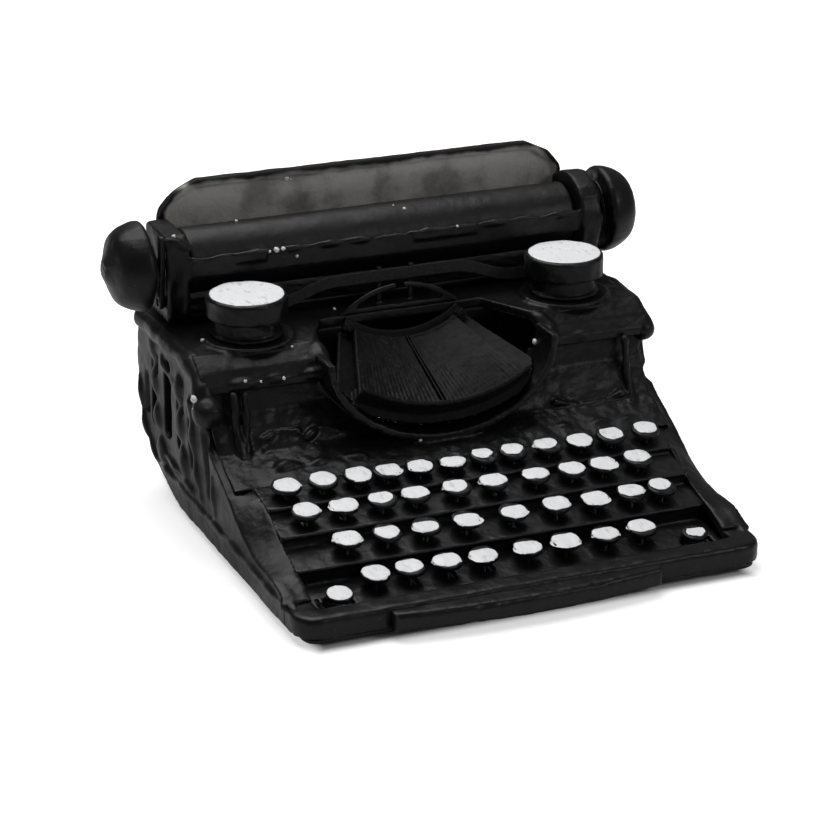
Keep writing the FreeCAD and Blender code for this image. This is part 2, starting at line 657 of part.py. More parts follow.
def make_side_frames():
    """Cast side frames with a sloping cheek beside the keys and three windows at the rear."""
    outer, inner = size("body_half_width"), size("body_half_width") - size("side_wall")
    cheek_x = size("body_half_width") - size("cheek_width")
    right = side_face(inner).extrude(Vector(outer - inner, 0, 0))
    cheek = Part.makeLoft([cheek_section(cheek_x, 1.0), cheek_section(outer, 0.0)], True, True)
    right = right.fuse(cheek)
    for number in range(3):
        middle = size("window_first_y") + number * size("window_pitch")
        right = right.cut(window_cutter(middle, inner - 1, outer - inner + 2))
    hole = size("shaft_radius") + size("running_fit")
    axle = Vector(inner - 1, size("shaft_y"), size("shaft_z"))
    right = right.cut(rod(hole, axle, axle + Vector(outer - inner + 2, 0, 0)))
    left = right.mirror(Vector(), Vector(1, 0, 0))
    boss = Part.makeSphere(size("side_boss_radius"), Vector(
        -outer, size("side_boss_y"), size("side_boss_z")))
    keep = block((-FAR, -FAR, 0), (-inner, FAR, FAR))
    left = left.fuse(boss.common(keep))
    feature("side_frames", Part.makeCompound([
        right.removeSplitter().Solids[0], left.removeSplitter().Solids[0]]))


def make_rear_panel():
    """The bent plate that closes the back between the side frames."""
    half = size("body_half_width") - size("side_wall")
    bottom, inset = size("rear_panel_bottom"), size("rear_panel_inset")
    edge = [(size("body_back"), size("deck_top") - size("deck_thickness"))]
    edge += side_edges("rear_edge", 2)
    knee_y, knee_z = edge[-1]
    run = (size("rear_edge_y_3") - knee_y) / (size("rear_edge_z_3") - knee_z)
    edge.append((knee_y + run * (bottom - knee_z), bottom))
    outside = [(y - inset, z) for y, z in edge]
    inside = [(y - size("rear_panel_thickness"), z) for y, z in outside]
    feature("rear_panel", along_x(outside + inside[::-1], -half, half))


def make_top_deck():
    """The deck, with its sloping front lip, basket opening, spool bosses and carriage rails."""
    body = DOC.addObject("PartDesign::Body", "DeckPlate")
    under = "(Dims.deck_top - Dims.deck_thickness)"
    section = outline(body, "DeckSection", "YZ_Plane", [
        ("Dims.deck_lip_y", "Dims.deck_lip_top - 0.8 * Dims.deck_thickness"),
        ("Dims.deck_slope_back", under), ("Dims.body_back", under),
        ("Dims.body_back", "Dims.deck_top"), ("Dims.deck_slope_back", "Dims.deck_top"),
        ("Dims.deck_lip_y + Dims.deck_brow_run", "Dims.deck_lip_top + Dims.deck_brow_rise"),
        ("Dims.deck_lip_y", "Dims.deck_lip_top")])
    pad(body, section, "2 * Dims.body_half_width")
    wide = "(Dims.basket_half_width + Dims.tray_gap)"
    before, shoulder = "Dims.deck_lip_y - Dims.deck_thickness", "Dims.deck_lip_y + Dims.mouth_shoulder"
    opening_back = "(Dims.guide_y - Dims.guide_room)"
    mouth = outline(body, "DeckMouth", "XY_Plane", [
        (f"-{wide}", before), (wide, before), (wide, shoulder),
        ("Dims.mouth_rear_half_width", opening_back), ("-Dims.mouth_rear_half_width", opening_back),
        (f"-{wide}", shoulder)])
    pocket_through(body, mouth)
    pieces = [body]
    for number, side in enumerate(("-", "")):
        pieces.append(cylinder(f"SpoolBoss{number}", "Dims.cup_radius", "Dims.cup_height", (
            f"{side}Dims.spool_x", "Dims.spool_y", "Dims.deck_top")))
        pieces.append(cylinder(f"SpoolStud{number}", "Dims.spool_stud",
                               "Dims.spool_top - Dims.deck_top - 0.5 * Dims.spool_cap_height", (
                                   f"{side}Dims.spool_x", "Dims.spool_y", "Dims.deck_top")))
    rail_half = "Dims.end_plate_inner"
    for number, start in enumerate((
            "Dims.end_plate_front + Dims.carriage_rail_inset",
            "Dims.carriage_back - Dims.carriage_rail_inset - Dims.carriage_rail_width")):
        pieces.append(box(f"CarriageRail{number}", (f"-{rail_half}", start, "Dims.deck_top"), (
            rail_half, f"{start} + Dims.carriage_rail_width",
            "Dims.deck_top + Dims.carriage_rail_height")))
    node(join("TopDeck", pieces), "top_deck")


def rim_outline(half_width, drop):
    """Half an ellipse that hangs from the deck, as a face in the XZ plane."""
    end_z = size("basket_end_z")
    centre = Vector(0, 0, end_z)
    swap = half_width < drop
    major, minor = (drop, half_width) if swap else (half_width, drop)
    ellipse = Part.Ellipse(centre, major, minor)
    turned = ellipse.toShape()
    turned.rotate(centre, Vector(1, 0, 0), 90)
    if swap:
        turned.rotate(centre, Vector(0, 1, 0), 90)
    whole = Part.Face(Part.Wire([turned]))
    below = block((-FAR, -1, 0), (FAR, 1, end_z))
    return whole.common(below)


def basket_prism(inset, front, back):
    """The space inside the basket rim between two Y values."""
    face = rim_outline(size("basket_half_width") - inset, size("basket_drop") - inset)
    solid = face.extrude(Vector(0, back - front, 0))
    return solid.translated(Vector(0, front, 0))


def panel_line():
    """The front panel's face, from the tray up to the deck's lip: (front to back, height)."""
    lip = size("deck_lip_y")
    return [(size("cheek_back"), size("upper_edge_z_5") - size("panel_foot_drop")),
            (size("upper_edge_y_6") - size("panel_step_front"),
             size("upper_edge_z_6") - size("panel_step_drop")),
            (lip + size("panel_brow_run"), size("upper_edge_z_7") + size("panel_brow_rise")),
            (lip + size("panel_top_run"), size("deck_lip_top") - size("deck_thickness"))]


def make_front_panel():
    """The panel above the keys, cast in one with the U-shaped basket rim."""
    face = panel_line()
    thick = size("panel_thickness")
    back = [(y + thick, z - 0.4 * thick) for y, z in face]
    back[-1] = (face[-1][0] + thick, face[-1][1])
    inner = size("body_half_width") - size("side_wall")
    panel = along_x(face + back[::-1], -inner, inner)
    wall = size("basket_wall")
    far = size("deck_lip_y") + size("basket_reach")
    outer_space = basket_prism(0.0, -FAR, far)
    inner_space = basket_prism(wall, -FAR, FAR)
    rim = outer_space.cut(inner_space)
    low, high = size("basket_front_low"), size("basket_front_high")
    end_z, bottom_z = size("basket_end_z"), size("basket_end_z") - size("basket_drop")
    lean = (high - low) / (end_z - bottom_z)
    in_front = along_x([(-FAR, bottom_z - FAR), (low - FAR * lean, bottom_z - FAR),
                        (high + FAR * lean, end_z + FAR), (-FAR, end_z + FAR)], -FAR, FAR)
    behind = [face[0], face[1], face[2], (face[3][0], end_z + wall), (FAR, end_z + wall), (FAR, 0)]
    rim = rim.cut(in_front).cut(along_x(behind, -FAR, FAR))
    panel = panel.cut(inner_space)
    feature("front_panel", panel.fuse(rim).removeSplitter().Solids[0])


def travel(row):
    """Travel of one row's keys, less towards the fulcrum, as an expression."""
    return (f"(Dims.key_travel * (Dims.shaft_y - Dims.row_y_{row})"
            " / (Dims.shaft_y - Dims.row_y_4))")


def tread(row, y):
    """Height of the keyboard tray under one row at a front-to-back place, as an expression."""
    level = f"(Dims.row_top_{row} - Dims.key_cap_height - {travel(row)} - Dims.key_gap)"
    return f"({level} + tan(Dims.key_tilt * 1deg) * (({y}) - Dims.row_y_{row}))"


def make_keyboard_tray():
    """The stepped tray that the key stems pass through, one tread to a row of keys."""
    body = DOC.addObject("PartDesign::Body", "KeyboardTray")
    thick = "Dims.tray_thickness"
    back = "(Dims.cheek_back - Dims.tray_gap)"
    top = [("Dims.tray_front", tread(4, "Dims.tray_front"))]
    low = [("Dims.tray_front", f"{tread(4, 'Dims.tray_front')} - {thick}")]
    for row in (4, 3, 2):
        step = f"((Dims.row_y_{row} + Dims.row_y_{row - 1}) / 2)"
        under = f"({step} + {thick})"
        top += [(step, tread(row, step)), (step, tread(row - 1, step))]
        low += [(under, f"{tread(row, under)} - {thick}"), (under, f"{tread(row - 1, under)} - {thick}")]
    top.append((back, tread(1, back)))
    low.append((back, f"{tread(1, back)} - {thick}"))
    section = outline(body, "TraySection", "YZ_Plane", top + low[::-1])
    pad(body, section, f"2 * ({CHEEK_X} - Dims.tray_gap)")
    holes = []
    for key in character_keys():
        wide = "(Dims.lever_thickness / 2 + Dims.stem_play_x)"
        deep = "(Dims.stem_width / 2 + Dims.stem_play_y)"
        left, right = key["x"], key["x"]
        if key["row"] == 4 and key["number"] in KEY_NUDGES:
            both = f"{key['x']}; {lever_x(key['slot'])}"
            left, right = f"min({both})", f"max({both})"
        y = f"Dims.row_y_{key['row']}"
        holes.append(box(f"StemHole{key['number']}", (f"{left} - {wide}", f"{y} - {deep}", "0"), (
            f"{right} + {wide}", f"{y} + {deep}", f"Dims.row_top_{key['row']}")))
    first, last = end_slots()
    for number, slot in enumerate((first - 2, first - 1, last + 1, last + 2)):
        wide = "(Dims.lever_thickness / 2 + Dims.clearance)"
        holes.append(box(f"LeverChannel{number}", (
            f"{lever_x(slot)} - {wide}", "Dims.tray_front - 1", "0"), (
            f"{lever_x(slot)} + {wide}", "Dims.row_y_4 + Dims.key_radius",
            "Dims.lever_front_z + Dims.lever_height / 2 + 2 * Dims.clearance")))
    for number, x in enumerate(("Dims.shift_left_x", "Dims.shift_right_x")):
        holes.append(cylinder(f"ShiftNotch{number}", "Dims.shift_radius + 2 * Dims.clearance",
                              "Dims.row_top_4", (x, "Dims.shift_y", "0")))
    tools = DOC.addObject("Part::Compound", "TrayHoles")
    tools.Links = holes
    node(cut("KeyboardTrayCut", body, [tools]), "keyboard_tray")


# ---------------------------------------------------------------- keys and their levers

def lever_pitch():
    """Spacing of the key levers, as an expression."""
    return "(Dims.row_pitch_4 / Dims.levers_per_front_key)"


def lever_x(slot):
    """Where the lever in one slot of the comb lies; a front-row key stands on every fourth slot."""
    return f"(Dims.row_first_x_4 + {slot} * {lever_pitch()})"


def character_keys():
    """Every character key with its row, place and the comb slot of its lever.

    The front row's levers run under their keys. The others share the slots between them from
    left to right.
    """
    keys = []
    for row, count in ROWS.items():
        for index in range(count):
            number = len(keys) + 1
            at = size(f"row_first_x_{row}") + index * size(f"row_pitch_{row}")
            place = f"Dims.row_first_x_{row} + {index} * Dims.row_pitch_{row}"
            if number in KEY_NUDGES:
                at += size(f"nudge_{number}")
                place += f" + Dims.nudge_{number}"
            keys.append({"number": number, "row": row, "index": index, "at": at, "x": f"({place})"})
    per_key = int(size("levers_per_front_key"))
    taken = {key["index"] * per_key for key in keys if key["row"] == 4}
    others = sorted((key for key in keys if key["row"] != 4), key=lambda key: key["at"])
    first = -(len(keys) - (ROWS[4] - 1) * per_key) // 2 + 1
    free = [slot for slot in range(first, first + len(keys)) if slot not in taken]
    for key, slot in zip(others, free):
        key["slot"] = slot
    for key in keys:
        if key["row"] == 4:
            key["slot"] = key["index"] * per_key
    return keys


def end_slots():
    """The comb's first and last slot for a character key."""
    slots = [key["slot"] for key in character_keys()]
    return min(slots), max(slots)


def slot_place(slot):
    """A comb slot's X as a number."""
    return size("row_first_x_4") + slot * size("row_pitch_4") / size("levers_per_front_key")


def lever_middle(y):
    """Height of the key levers' middle line at a front-to-back place."""
    run = size("shaft_y") - size("lever_front_y")
    slope = (size("shaft_z") - size("lever_front_z")) / run
    return size("shaft_z") - (size("shaft_y") - y) * slope


def lever_travel(y):
    """How far a fully pressed lever moves down at a front-to-back place."""
    return size("key_travel") * (size("shaft_y") - y) / (size("shaft_y") - size("row_y_4"))


def lever_bar(x, front, tail):
    """A key lever's bar with its eye, bored for the fulcrum shaft."""
    half, tall = size("lever_thickness") / 2, size("lever_height") / 2
    back = size("shaft_y") + tail
    low, high = lever_middle(front), lever_middle(back)
    bar = along_x([(front, low - tall), (back, high - tall), (back, high + tall),
                   (front, low + tall)], x - half, x + half)
    centre = Vector(x - half, size("shaft_y"), size("shaft_z"))
    along = Vector(2 * half, 0, 0)
    bar = bar.fuse(rod(size("lever_eye_radius"), centre, centre + along))
    return bar, rod(size("shaft_radius") + size("running_fit"), centre - along, centre + along * 2)


def key_top(x, y, top, radius):
    """A round key top that slopes towards the operator."""
    height = size("key_cap_height")
    cap = Part.makeCylinder(radius, height, Vector(x, y, top - height))
    cap = cap.makeFillet(0.3 * height, [cap.Edges[0]])
    cap.rotate(Vector(x, y, top), Vector(1, 0, 0), size("key_tilt"))
    return cap


def make_key(key):
    """One character key: its lever with sidestep and stem, and its round top."""
    row, x = key["row"], key["at"]
    y, top = size(f"row_y_{row}"), size(f"row_top_{row}")
    half, deep = size("lever_thickness") / 2, size("stem_width") / 2
    place = slot_place(key["slot"])
    lever, bore = lever_bar(place, y - deep, size("lever_tail"))
    cap = key_top(x, y, top, size("key_radius"))
    stem_foot = lever_middle(y)
    left, right = min(place, x) - half, max(place, x) + half
    if row == 4:
        jog = lever_middle(y) - size("lever_height") / 2
        lever = lever.fuse(block((left, y - deep, jog), (right, y + deep, jog + size("jog_height"))))
        stem_foot = jog
    elif abs(place - x) > 0.001:
        jog = lever_middle(y) + size("lever_height") / 2 + lever_travel(y) + size("clearance")
        lever = lever.fuse(block((place - half, y - deep, stem_foot),
                                 (place + half, y + deep, jog + size("jog_height"))))
        lever = lever.fuse(block((left, y - deep, jog), (right, y + deep, jog + size("jog_height"))))
        stem_foot = jog
    stem = block((x - half, y - deep, stem_foot), (x + half, y + deep, top - 0.5 * size("key_cap_height")))
    lever = lever.fuse(stem).cut(cap).cut(bore).removeSplitter()
    feature(f"key_{key['number']:02d}", Part.makeCompound([lever.Solids[0], cap]))


def make_shift_keys():
    """Both shift keys, joined by the bail behind the fulcrum shaft."""
    first, last = end_slots()
    y, half, deep = size("shift_y"), size("lever_thickness") / 2, size("stem_width") / 2
    places = [(slot_place(first - 1), size("shift_left_x")), (slot_place(last + 1), size("shift_right_x"))]
    bail_back = size("bail_y") + size("bail_size") / 2 - size("shaft_y")
    bail_z = lever_middle(size("bail_y"))
    bail_half = size("bail_size") / 2
    frame = block((places[0][0] - half, size("bail_y") - bail_half, bail_z - bail_half),
                  (places[1][0] + half, size("bail_y") + bail_half, bail_z + bail_half))
    caps = []
    for place, x in places:
        lever, bore = lever_bar(place, y - deep, bail_back)
        cap = key_top(x, y, size("shift_top"), size("shift_radius"))
        low = lever_middle(y) - size("lever_height") / 2
        left, right = min(place, x) - half, max(place, x) + half
        step = block((left, y - deep, low), (right, y + deep, low + size("jog_height")))
        stem_top = size("shift_top") - 0.5 * size("key_cap_height")
        stem = block((x - half, y - deep, low), (x + half, y + deep, stem_top))
        frame = frame.fuse(lever).fuse(step).fuse(stem).cut(bore).cut(cap)
        caps.append(cap)
    feature("shift_keys", Part.makeCompound([frame.removeSplitter().Solids[0]] + caps))


def make_space_bar():
    """The bowed space bar with its prongs, cross piece and two levers."""
    first, last = end_slots()
    cross_front = size("space_cross_front")
    cross_back = cross_front + size("space_cross_depth")
    back = size("rail_front") - size("space_gap")
    left, right = size("space_left"), size("space_right")
    front, bow = size("space_front"), size("space_bow")
    bottom, top = size("space_bottom"), size("space_top")
    middle = (left + right) / 2
    arc = Part.Arc(Vector(left, front + bow, bottom), Vector(middle, front, bottom),
                   Vector(right, front + bow, bottom)).toShape()
    lines = Part.makePolygon([Vector(right, front + bow, bottom), Vector(right, back, bottom),
                              Vector(left, back, bottom), Vector(left, front + bow, bottom)])
    bar = Part.Face(Part.Wire([arc] + lines.Edges)).extrude(Vector(0, 0, top - bottom))
    soft = [edge for edge in bar.Edges if edge.BoundBox.YMax < back - 0.01
            or (stands_upright(edge) and edge.BoundBox.YMax < back - 0.01)]
    bar = bar.makeFillet(size("space_round"), soft)
    low, high = size("prong_bottom"), size("prong_top")
    for place in (middle - size("prong_spread"), middle + size("prong_spread")):
        wide = size("prong_width") / 2
        bar = bar.fuse(block((place - wide, back - 1, low), (place + wide, cross_back, high)))
    ends = [slot_place(first - 2), slot_place(last + 2)]
    half = size("lever_thickness") / 2
    cross_low = lever_middle(cross_front) - size("lever_height") / 2
    bar = bar.fuse(block((ends[0] - half, cross_front, cross_low), (ends[1] + half, cross_back, high)))
    for place in ends:
        lever, bore = lever_bar(place, cross_front, size("lever_tail"))
        bar = bar.fuse(lever).cut(bore)
    feature("space_bar", bar.removeSplitter().Solids[0])


def make_lever_shaft():
    """The fulcrum shaft, the comb that guides the levers and the comb of return springs."""
    inner = size("body_half_width") - size("side_wall")
    reach = size("body_half_width") - 1
    shaft = rod(size("shaft_radius"), Vector(-reach, size("shaft_y"), size("shaft_z")),
                Vector(reach, size("shaft_y"), size("shaft_z")))
    first, last = end_slots()
    half = size("lever_thickness") / 2
    comb_y, thick = size("comb_y"), size("comb_thickness")
    tall = size("lever_height") / 2
    slot_low = lever_middle(comb_y) - tall - lever_travel(comb_y) - size("clearance")
    comb = block((-inner, comb_y, size("comb_bottom")), (inner, comb_y + thick, size("comb_top")))
    rail_y, deep = size("spring_rail_y"), size("spring_rail_depth")
    tail_end = size("shaft_y") + size("lever_tail")
    leaf_low = lever_middle(tail_end) + tall + size("lever_tail") * size("key_travel") / (
        size("shaft_y") - size("row_y_4")) + 0.6 * size("clearance")
    leaf_high = leaf_low + size("spring_thickness")
    springs = block((-inner, rail_y, leaf_low - 2), (inner, rail_y + deep, leaf_high))
    gaps = []
    for slot in range(first - 2, last + 3):
        x = slot_place(slot)
        wide = half + size("comb_play")
        gaps.append(block((x - wide, comb_y - 1, slot_low), (x + wide, comb_y + thick + 1, 100)))
    for slot in [slot for slot in range(first, last + 1)] + [first - 2, last + 2]:
        x = slot_place(slot)
        wide = size("spring_width") / 2
        leaf_front = size("shaft_y") + size("lever_eye_radius") + size("clearance")
        springs = springs.fuse(block((x - wide, leaf_front, leaf_low), (x + wide, rail_y + 1, leaf_high)))
    comb = comb.cut(Part.makeCompound(gaps))
    feature("lever_shaft", Part.makeCompound([
        shaft, comb.removeSplitter().Solids[0], springs.removeSplitter().Solids[0]]))


# ---------------------------------------------------------------- typebars and ribbon


def print_point():
    """Where every typebar's end stands when it strikes."""
    return Vector(0, size("strike_y"), size("strike_z"))


def fan_axis():
    """Direction of the line through the print point that the fan is turned about."""
    rise, reach = size("strike_z") - size("pivot_z"), size("strike_y") - size("pivot_y")
    return Vector(0, -rise, reach).normalize()


def typebar_length():
    """Length of a typebar from its pivot to the type."""
    rise, reach = size("strike_z") - size("pivot_z"), size("strike_y") - size("pivot_y")
    return math.hypot(rise, reach)


def strike_turn():
    """Degrees that a typebar turns from its rest to the strike."""
    rise, reach = size("strike_z") - size("pivot_z"), size("strike_y") - size("pivot_y")
    return 180 + size("rest_drop") - math.degrees(math.atan2(rise, reach))


def centre_typebar():
    """The middle typebar at rest: hub, arm and upright slug, bored for the pivot wire."""
    half, tall = size("typebar_thickness") / 2, size("typebar_height") / 2
    pivot = Vector(0, size("pivot_y"), size("pivot_z"))
    long, slug_deep = typebar_length(), size("slug_depth")
    across = size("slug_width") / 2
    rise = size("strike_z") - slug_deep - size("platen_z")
    face_y = size("platen_y") - math.sqrt(size("platen_radius") ** 2 - rise ** 2)
    slug_long = face_y - size("strike_y") - size("slug_gap")
    # laid out at the strike, standing up from the pivot, then laid back to rest
    arm = block((-half, -tall, 0), (half, tall, long))
    lean = math.degrees(math.atan2(size("strike_y") - size("pivot_y"), size("strike_z") - size("pivot_z")))
    arm.rotate(Vector(), Vector(1, 0, 0), -lean)
    arm.translate(pivot)
    end = print_point()
    slug = block((-across, end.y - tall, end.z - slug_deep), (across, end.y + slug_long, end.z))
    hub = rod(size("typebar_hub"), pivot - Vector(half, 0, 0), pivot + Vector(half, 0, 0))
    bar = arm.fuse(slug).fuse(hub)
    bore = size("pivot_wire") + size("running_fit")
    bar = bar.cut(rod(bore, pivot - Vector(2, 0, 0), pivot + Vector(2, 0, 0)))
    bar.rotate(pivot, Vector(1, 0, 0), strike_turn())
    return bar.removeSplitter()


def fan_angles():
    """Angle of every typebar in the fan."""
    count = int(size("typebar_count"))
    step = 2 * size("fan_half_angle") / (count - 1)
    return [index * step - size("fan_half_angle") for index in range(count)]


def make_typebars():
    """The fan of typebars, each turned about the print point, and the wire they turn on."""
    bar = centre_typebar()
    resting = []
    for angle in fan_angles():
        if abs(angle) < 0.001:
            continue
        copy = bar.copy()
        copy.rotate(print_point(), fan_axis(), angle)
        resting.append(copy)
    feature("typebars", Part.makeCompound([copy.Solids[0] for copy in resting]))
    feature("typebar_centre", bar.Solids[0])


def about_print_point(points, half_angle):
    """A ring section (along the fan axis, radius) swept to both sides of the middle."""
    axis = fan_axis()
    down = Vector(0, -axis.z, axis.y)
    centre = print_point()
    corners = [centre + axis * along + down * radius for along, radius in points]
    face = Part.Face(Part.makePolygon(corners + [corners[0]]))
    solid = face.revolve(centre, axis, 2 * half_angle)
    solid.rotate(centre, axis, -half_angle)
    return solid


def make_segment():
    """The segment that holds the typebars' wire, its pan, and the felt that the typebars rest on."""
    pivot_radius = typebar_length()
    tall = size("typebar_height") / 2
    axis_turn = math.radians(strike_turn() - 90)
    slope = math.tan(axis_turn)
    back, face = -size("segment_gap") - tall - size("segment_depth"), -size("segment_gap") - tall
    inner, reach = size("segment_inner"), size("pan_reach")
    stand = size("pan_offset") + tall
    upper = pivot_radius + stand / math.cos(axis_turn)
    lower = upper + size("pan_thickness") / math.cos(axis_turn)
    section = [(back, inner), (face, inner), (face, upper + slope * face), (reach, upper + slope * reach),
               (reach, lower + slope * reach), (back, lower + slope * back)]
    ring = about_print_point(section, size("segment_half_angle"))
    room = basket_prism(size("basket_wall") + size("clearance"), -FAR, FAR)
    above = block((-FAR, -FAR, size("basket_end_z")), (FAR, FAR, FAR))
    ring = ring.common(room.fuse(above))
    lug_top = size("deck_top") - size("deck_thickness")
    under_deck = size("guide_y") - size("guide_room") - size("clearance")
    ring = ring.cut(block((-FAR, under_deck, lug_top), (FAR, FAR, FAR)))
    for side in (-1, 1):
        ends = sorted((side * size("lug_inner"), side * size("lug_outer")))
        ring = ring.fuse(block((ends[0], size("guide_y") - size("lug_front"), lug_top - size("lug_height")),
                               (ends[1], size("guide_y") + size("lug_back"), lug_top)))
    ring = ring.fuse(segment_ears()).fuse(pivot_wire_arc())
    low_line = pivot_radius + (tall + size("felt_gap")) / math.cos(axis_turn)
    start = reach - size("felt_length")
    felt = about_print_point([
        (start, low_line + slope * start), (reach, low_line + slope * reach),
        (reach, upper + slope * reach), (start, upper + slope * start)], size("fan_half_angle") + 1)
    felt = felt.common(room)
    feature("type_segment", Part.makeCompound([ring.removeSplitter().Solids[0], felt.Solids[0]]))


def pivot_wire_arc():
    """The curved wire through the typebars' hubs."""
    axis, centre = fan_axis(), print_point()
    half = size("segment_half_angle") - 0.5
    start = Vector(0, size("pivot_y"), size("pivot_z"))
    circle = Part.Wire([Part.makeCircle(size("pivot_wire"), start, Vector(1, 0, 0))])
    solid = Part.Face(circle).revolve(centre, axis, 2 * half)
    solid.rotate(centre, axis, -half)
    return solid


def segment_ears():
    """Two ears that join the wire's ends to the segment."""
    low = -size("segment_gap") - size("typebar_height") / 2 - 1
    radius = typebar_length()
    span = size("segment_half_angle") - size("fan_half_angle") - size("ear_room")
    tall, front = size("ear_half_height"), size("ear_front")
    ear = about_print_point([(low, radius - tall), (front, radius - tall), (front, radius + tall),
                             (low, radius + tall)], span / 2)
    ears = []
    for side in (-1, 1):
        copy = ear.copy()
        copy.rotate(print_point(), fan_axis(), side * (size("segment_half_angle") - span / 2))
        ears.append(copy)
    return ears[0].fuse(ears[1])


def make_spool(label, side):
    """A ribbon spool: lower flange, wound ribbon and thick cap, bored for its stud."""
    x, y = side * size("spool_x"), size("spool_y")
    low = size("deck_top") + size("cup_height") + size("slide_gap")
    cap_low = size("spool_top") - size("spool_cap_height")
    flange = Part.makeCylinder(size("spool_flange_radius"), size("spool_flange"), Vector(x, y, low))
    pack = Part.makeCylinder(size("spool_pack_radius"), cap_low - low, Vector(x, y, low))
    cap = Part.makeCylinder(size("spool_radius"), size("spool_cap_height"), Vector(x, y, cap_low))
    upper = [edge for edge in cap.Edges if edge.Closed and edge.BoundBox.ZMin > cap_low + 1]
    cap = cap.makeFillet(size("spool_cap_round"), upper)
    bore = size("spool_stud") + size("running_fit")
    deep = size("spool_top") - 0.5 * size("spool_cap_height") + size("clearance") - low
    spool = flange.fuse(pack).fuse(cap).cut(Part.makeCylinder(bore, deep, Vector(x, y, low)))
    feature(label, spool.removeSplitter().Solids[0])


def ribbon_line(x, low):
    """Height of the ribbon's lower edge at one X: level at the spools, raised in the middle."""
    flat, full = size("spool_x") - size("spool_radius"), size("guide_half_width")
    share = min(max((flat - abs(x)) / (flat - full), 0.0), 1.0)
    return low + size("ribbon_rise") * (1 - math.cos(math.pi * share)) / 2


def make_ribbon():
    """The ribbon between the spools and the guide that holds it before the platen."""
    cap_low = size("spool_top") - size("spool_cap_height")
    low = cap_low - size("slide_gap") - size("ribbon_height")
    back = size("spool_y") + size("spool_pack_radius") + size("slide_gap")
    half = size("spool_x")
    steps = 24
    line = [(-half + 2 * half * index / steps) for index in range(steps + 1)]
    lower = [(x, back, ribbon_line(x, low)) for x in line]
    upper = [(x, back, ribbon_line(x, low) + size("ribbon_height")) for x in line]
    edges = [smooth_edge(lower), Part.makeLine(Vector(*lower[-1]), Vector(*upper[-1])),
             smooth_edge(upper[::-1]), Part.makeLine(Vector(*upper[0]), Vector(*lower[0]))]
    ribbon = Part.Face(Part.Wire(edges)).extrude(Vector(0, size("ribbon_thickness"), 0))
    feature("ribbon", Part.makeCompound([ribbon, type_guide(back + size("ribbon_thickness"))]))


def arch_shape(half_width, low, top, front, depth):
    """A flat arch under a circular arc."""
    arc = Part.Arc(Vector(-half_width, front, low), Vector(0, front, top), Vector(half_width, front, low))
    chord = Part.makeLine(Vector(half_width, front, low), Vector(-half_width, front, low))
    return Part.Face(Part.Wire([arc.toShape(), chord])).extrude(Vector(0, depth, 0))


def type_guide(ribbon_back):
    """The arch that guides the typebars, with the two posts behind the ribbon."""
    wide, tall = size("guide_half_width"), size("guide_height")
    front, thick = size("guide_y"), size("guide_thickness")
    foot, band = size("deck_top"), size("guide_band")
    arch = arch_shape(wide, foot, foot + tall, front, thick)
    arch = arch.cut(arch_shape(wide - size("guide_leg"), foot + band, foot + tall - band,
                               front - 1, thick + 2))
    slot = size("guide_slot")
    arch = arch.cut(block((-slot, front - 1, foot + size("guide_slot_bottom")),
                          (slot, front + thick + 1, FAR)))
    post_y = ribbon_back + size("slide_gap")
    post_back = post_y + size("guide_post_depth")
    post_top = foot + size("guide_post_height")
    inner, outer = size("guide_post_inner"), size("guide_post_inner") + size("guide_post_width")
    for side in (-1, 1):
        ends = sorted((side * inner, side * outer))
        arch = arch.fuse(block((ends[0], post_y, foot), (ends[1], post_back, post_top)))
    half_foot = size("guide_foot_half_width")
    arch = arch.fuse(block((-half_foot, front, foot),
                           (half_foot, post_back, foot + size("guide_foot_height"))))
    return arch.removeSplitter()


# ---------------------------------------------------------------- carriage


def end_plate_shape(x):
    """A carriage end plate, bored for the platen's shaft; the right one has a round head."""
    thick = size("end_plate")
    low = size("deck_top") + size("carriage_rail_height") + size("slide_gap")
    front, back, top = size("end_plate_front"), size("carriage_back"), size("end_plate_top")
    axis_y, axis_z, reach = size("platen_y"), size("platen_z"), size("end_plate_bearing")
    bulge = front - size("end_plate_bulge")
    outline_points = [(front, low), (back, low), (back, top - size("end_plate_corner")),
                      (axis_y + reach, top), (axis_y - reach, top), (bulge, axis_z + reach),
                      (bulge, axis_z - reach)]
    plate = along_x(outline_points, x, x + thick)
    if x > 0:
        head = rod(size("end_plate_head"), Vector(x, axis_y, axis_z), Vector(x + thick, axis_y, axis_z))
        plate = plate.fuse(head.cut(block((0, back, 0), (FAR, FAR, FAR))))
    hole = size("platen_shaft") + size("running_fit")
    axle = Vector(x - 1, axis_y, axis_z)
    return plate.cut(rod(hole, axle, axle + Vector(thick + 2, 0, 0)))


def make_carriage():
    """The sliding frame under the platen, with its end plates and the scale plate in front."""
    low = size("deck_top") + size("carriage_rail_height") + size("slide_gap")
    inner, thick = size("end_plate_inner"), size("end_plate")
    frame = block((-inner, size("end_plate_front"), low),
                  (inner, size("carriage_back"), low + size("bed_thickness")))
    frame = frame.fuse(end_plate_shape(inner)).fuse(end_plate_shape(-inner - thick))
    root = Vector(-inner - thick + 1, size("line_lever_y"), size("line_lever_z"))
    tip = Vector(line_lever_face() - size("line_lever_thickness") + size("line_pin_set_back"), root.y, root.z)
    frame = frame.fuse(rod(size("line_pin_radius"), root, tip))
    front, deep = size("scale_front"), size("scale_thickness")
    bottom, top = size("scale_bottom"), size("scale_top")
    scale = block((-inner, front, bottom), (inner, front + deep, top))
    for side in ("left", "right"):
        middle, half = size(f"{side}_tab_middle"), size(f"{side}_tab_width") / 2
        scale = scale.fuse(block(
            (middle - half, front - size("tab_proud"), top - size("tab_depth")),
            (middle + half, front + deep / 2, top + size("tab_rise"))))
    feature("carriage_frame", Part.makeCompound([
        frame.removeSplitter().Solids[0], scale.removeSplitter().Solids[0]]))


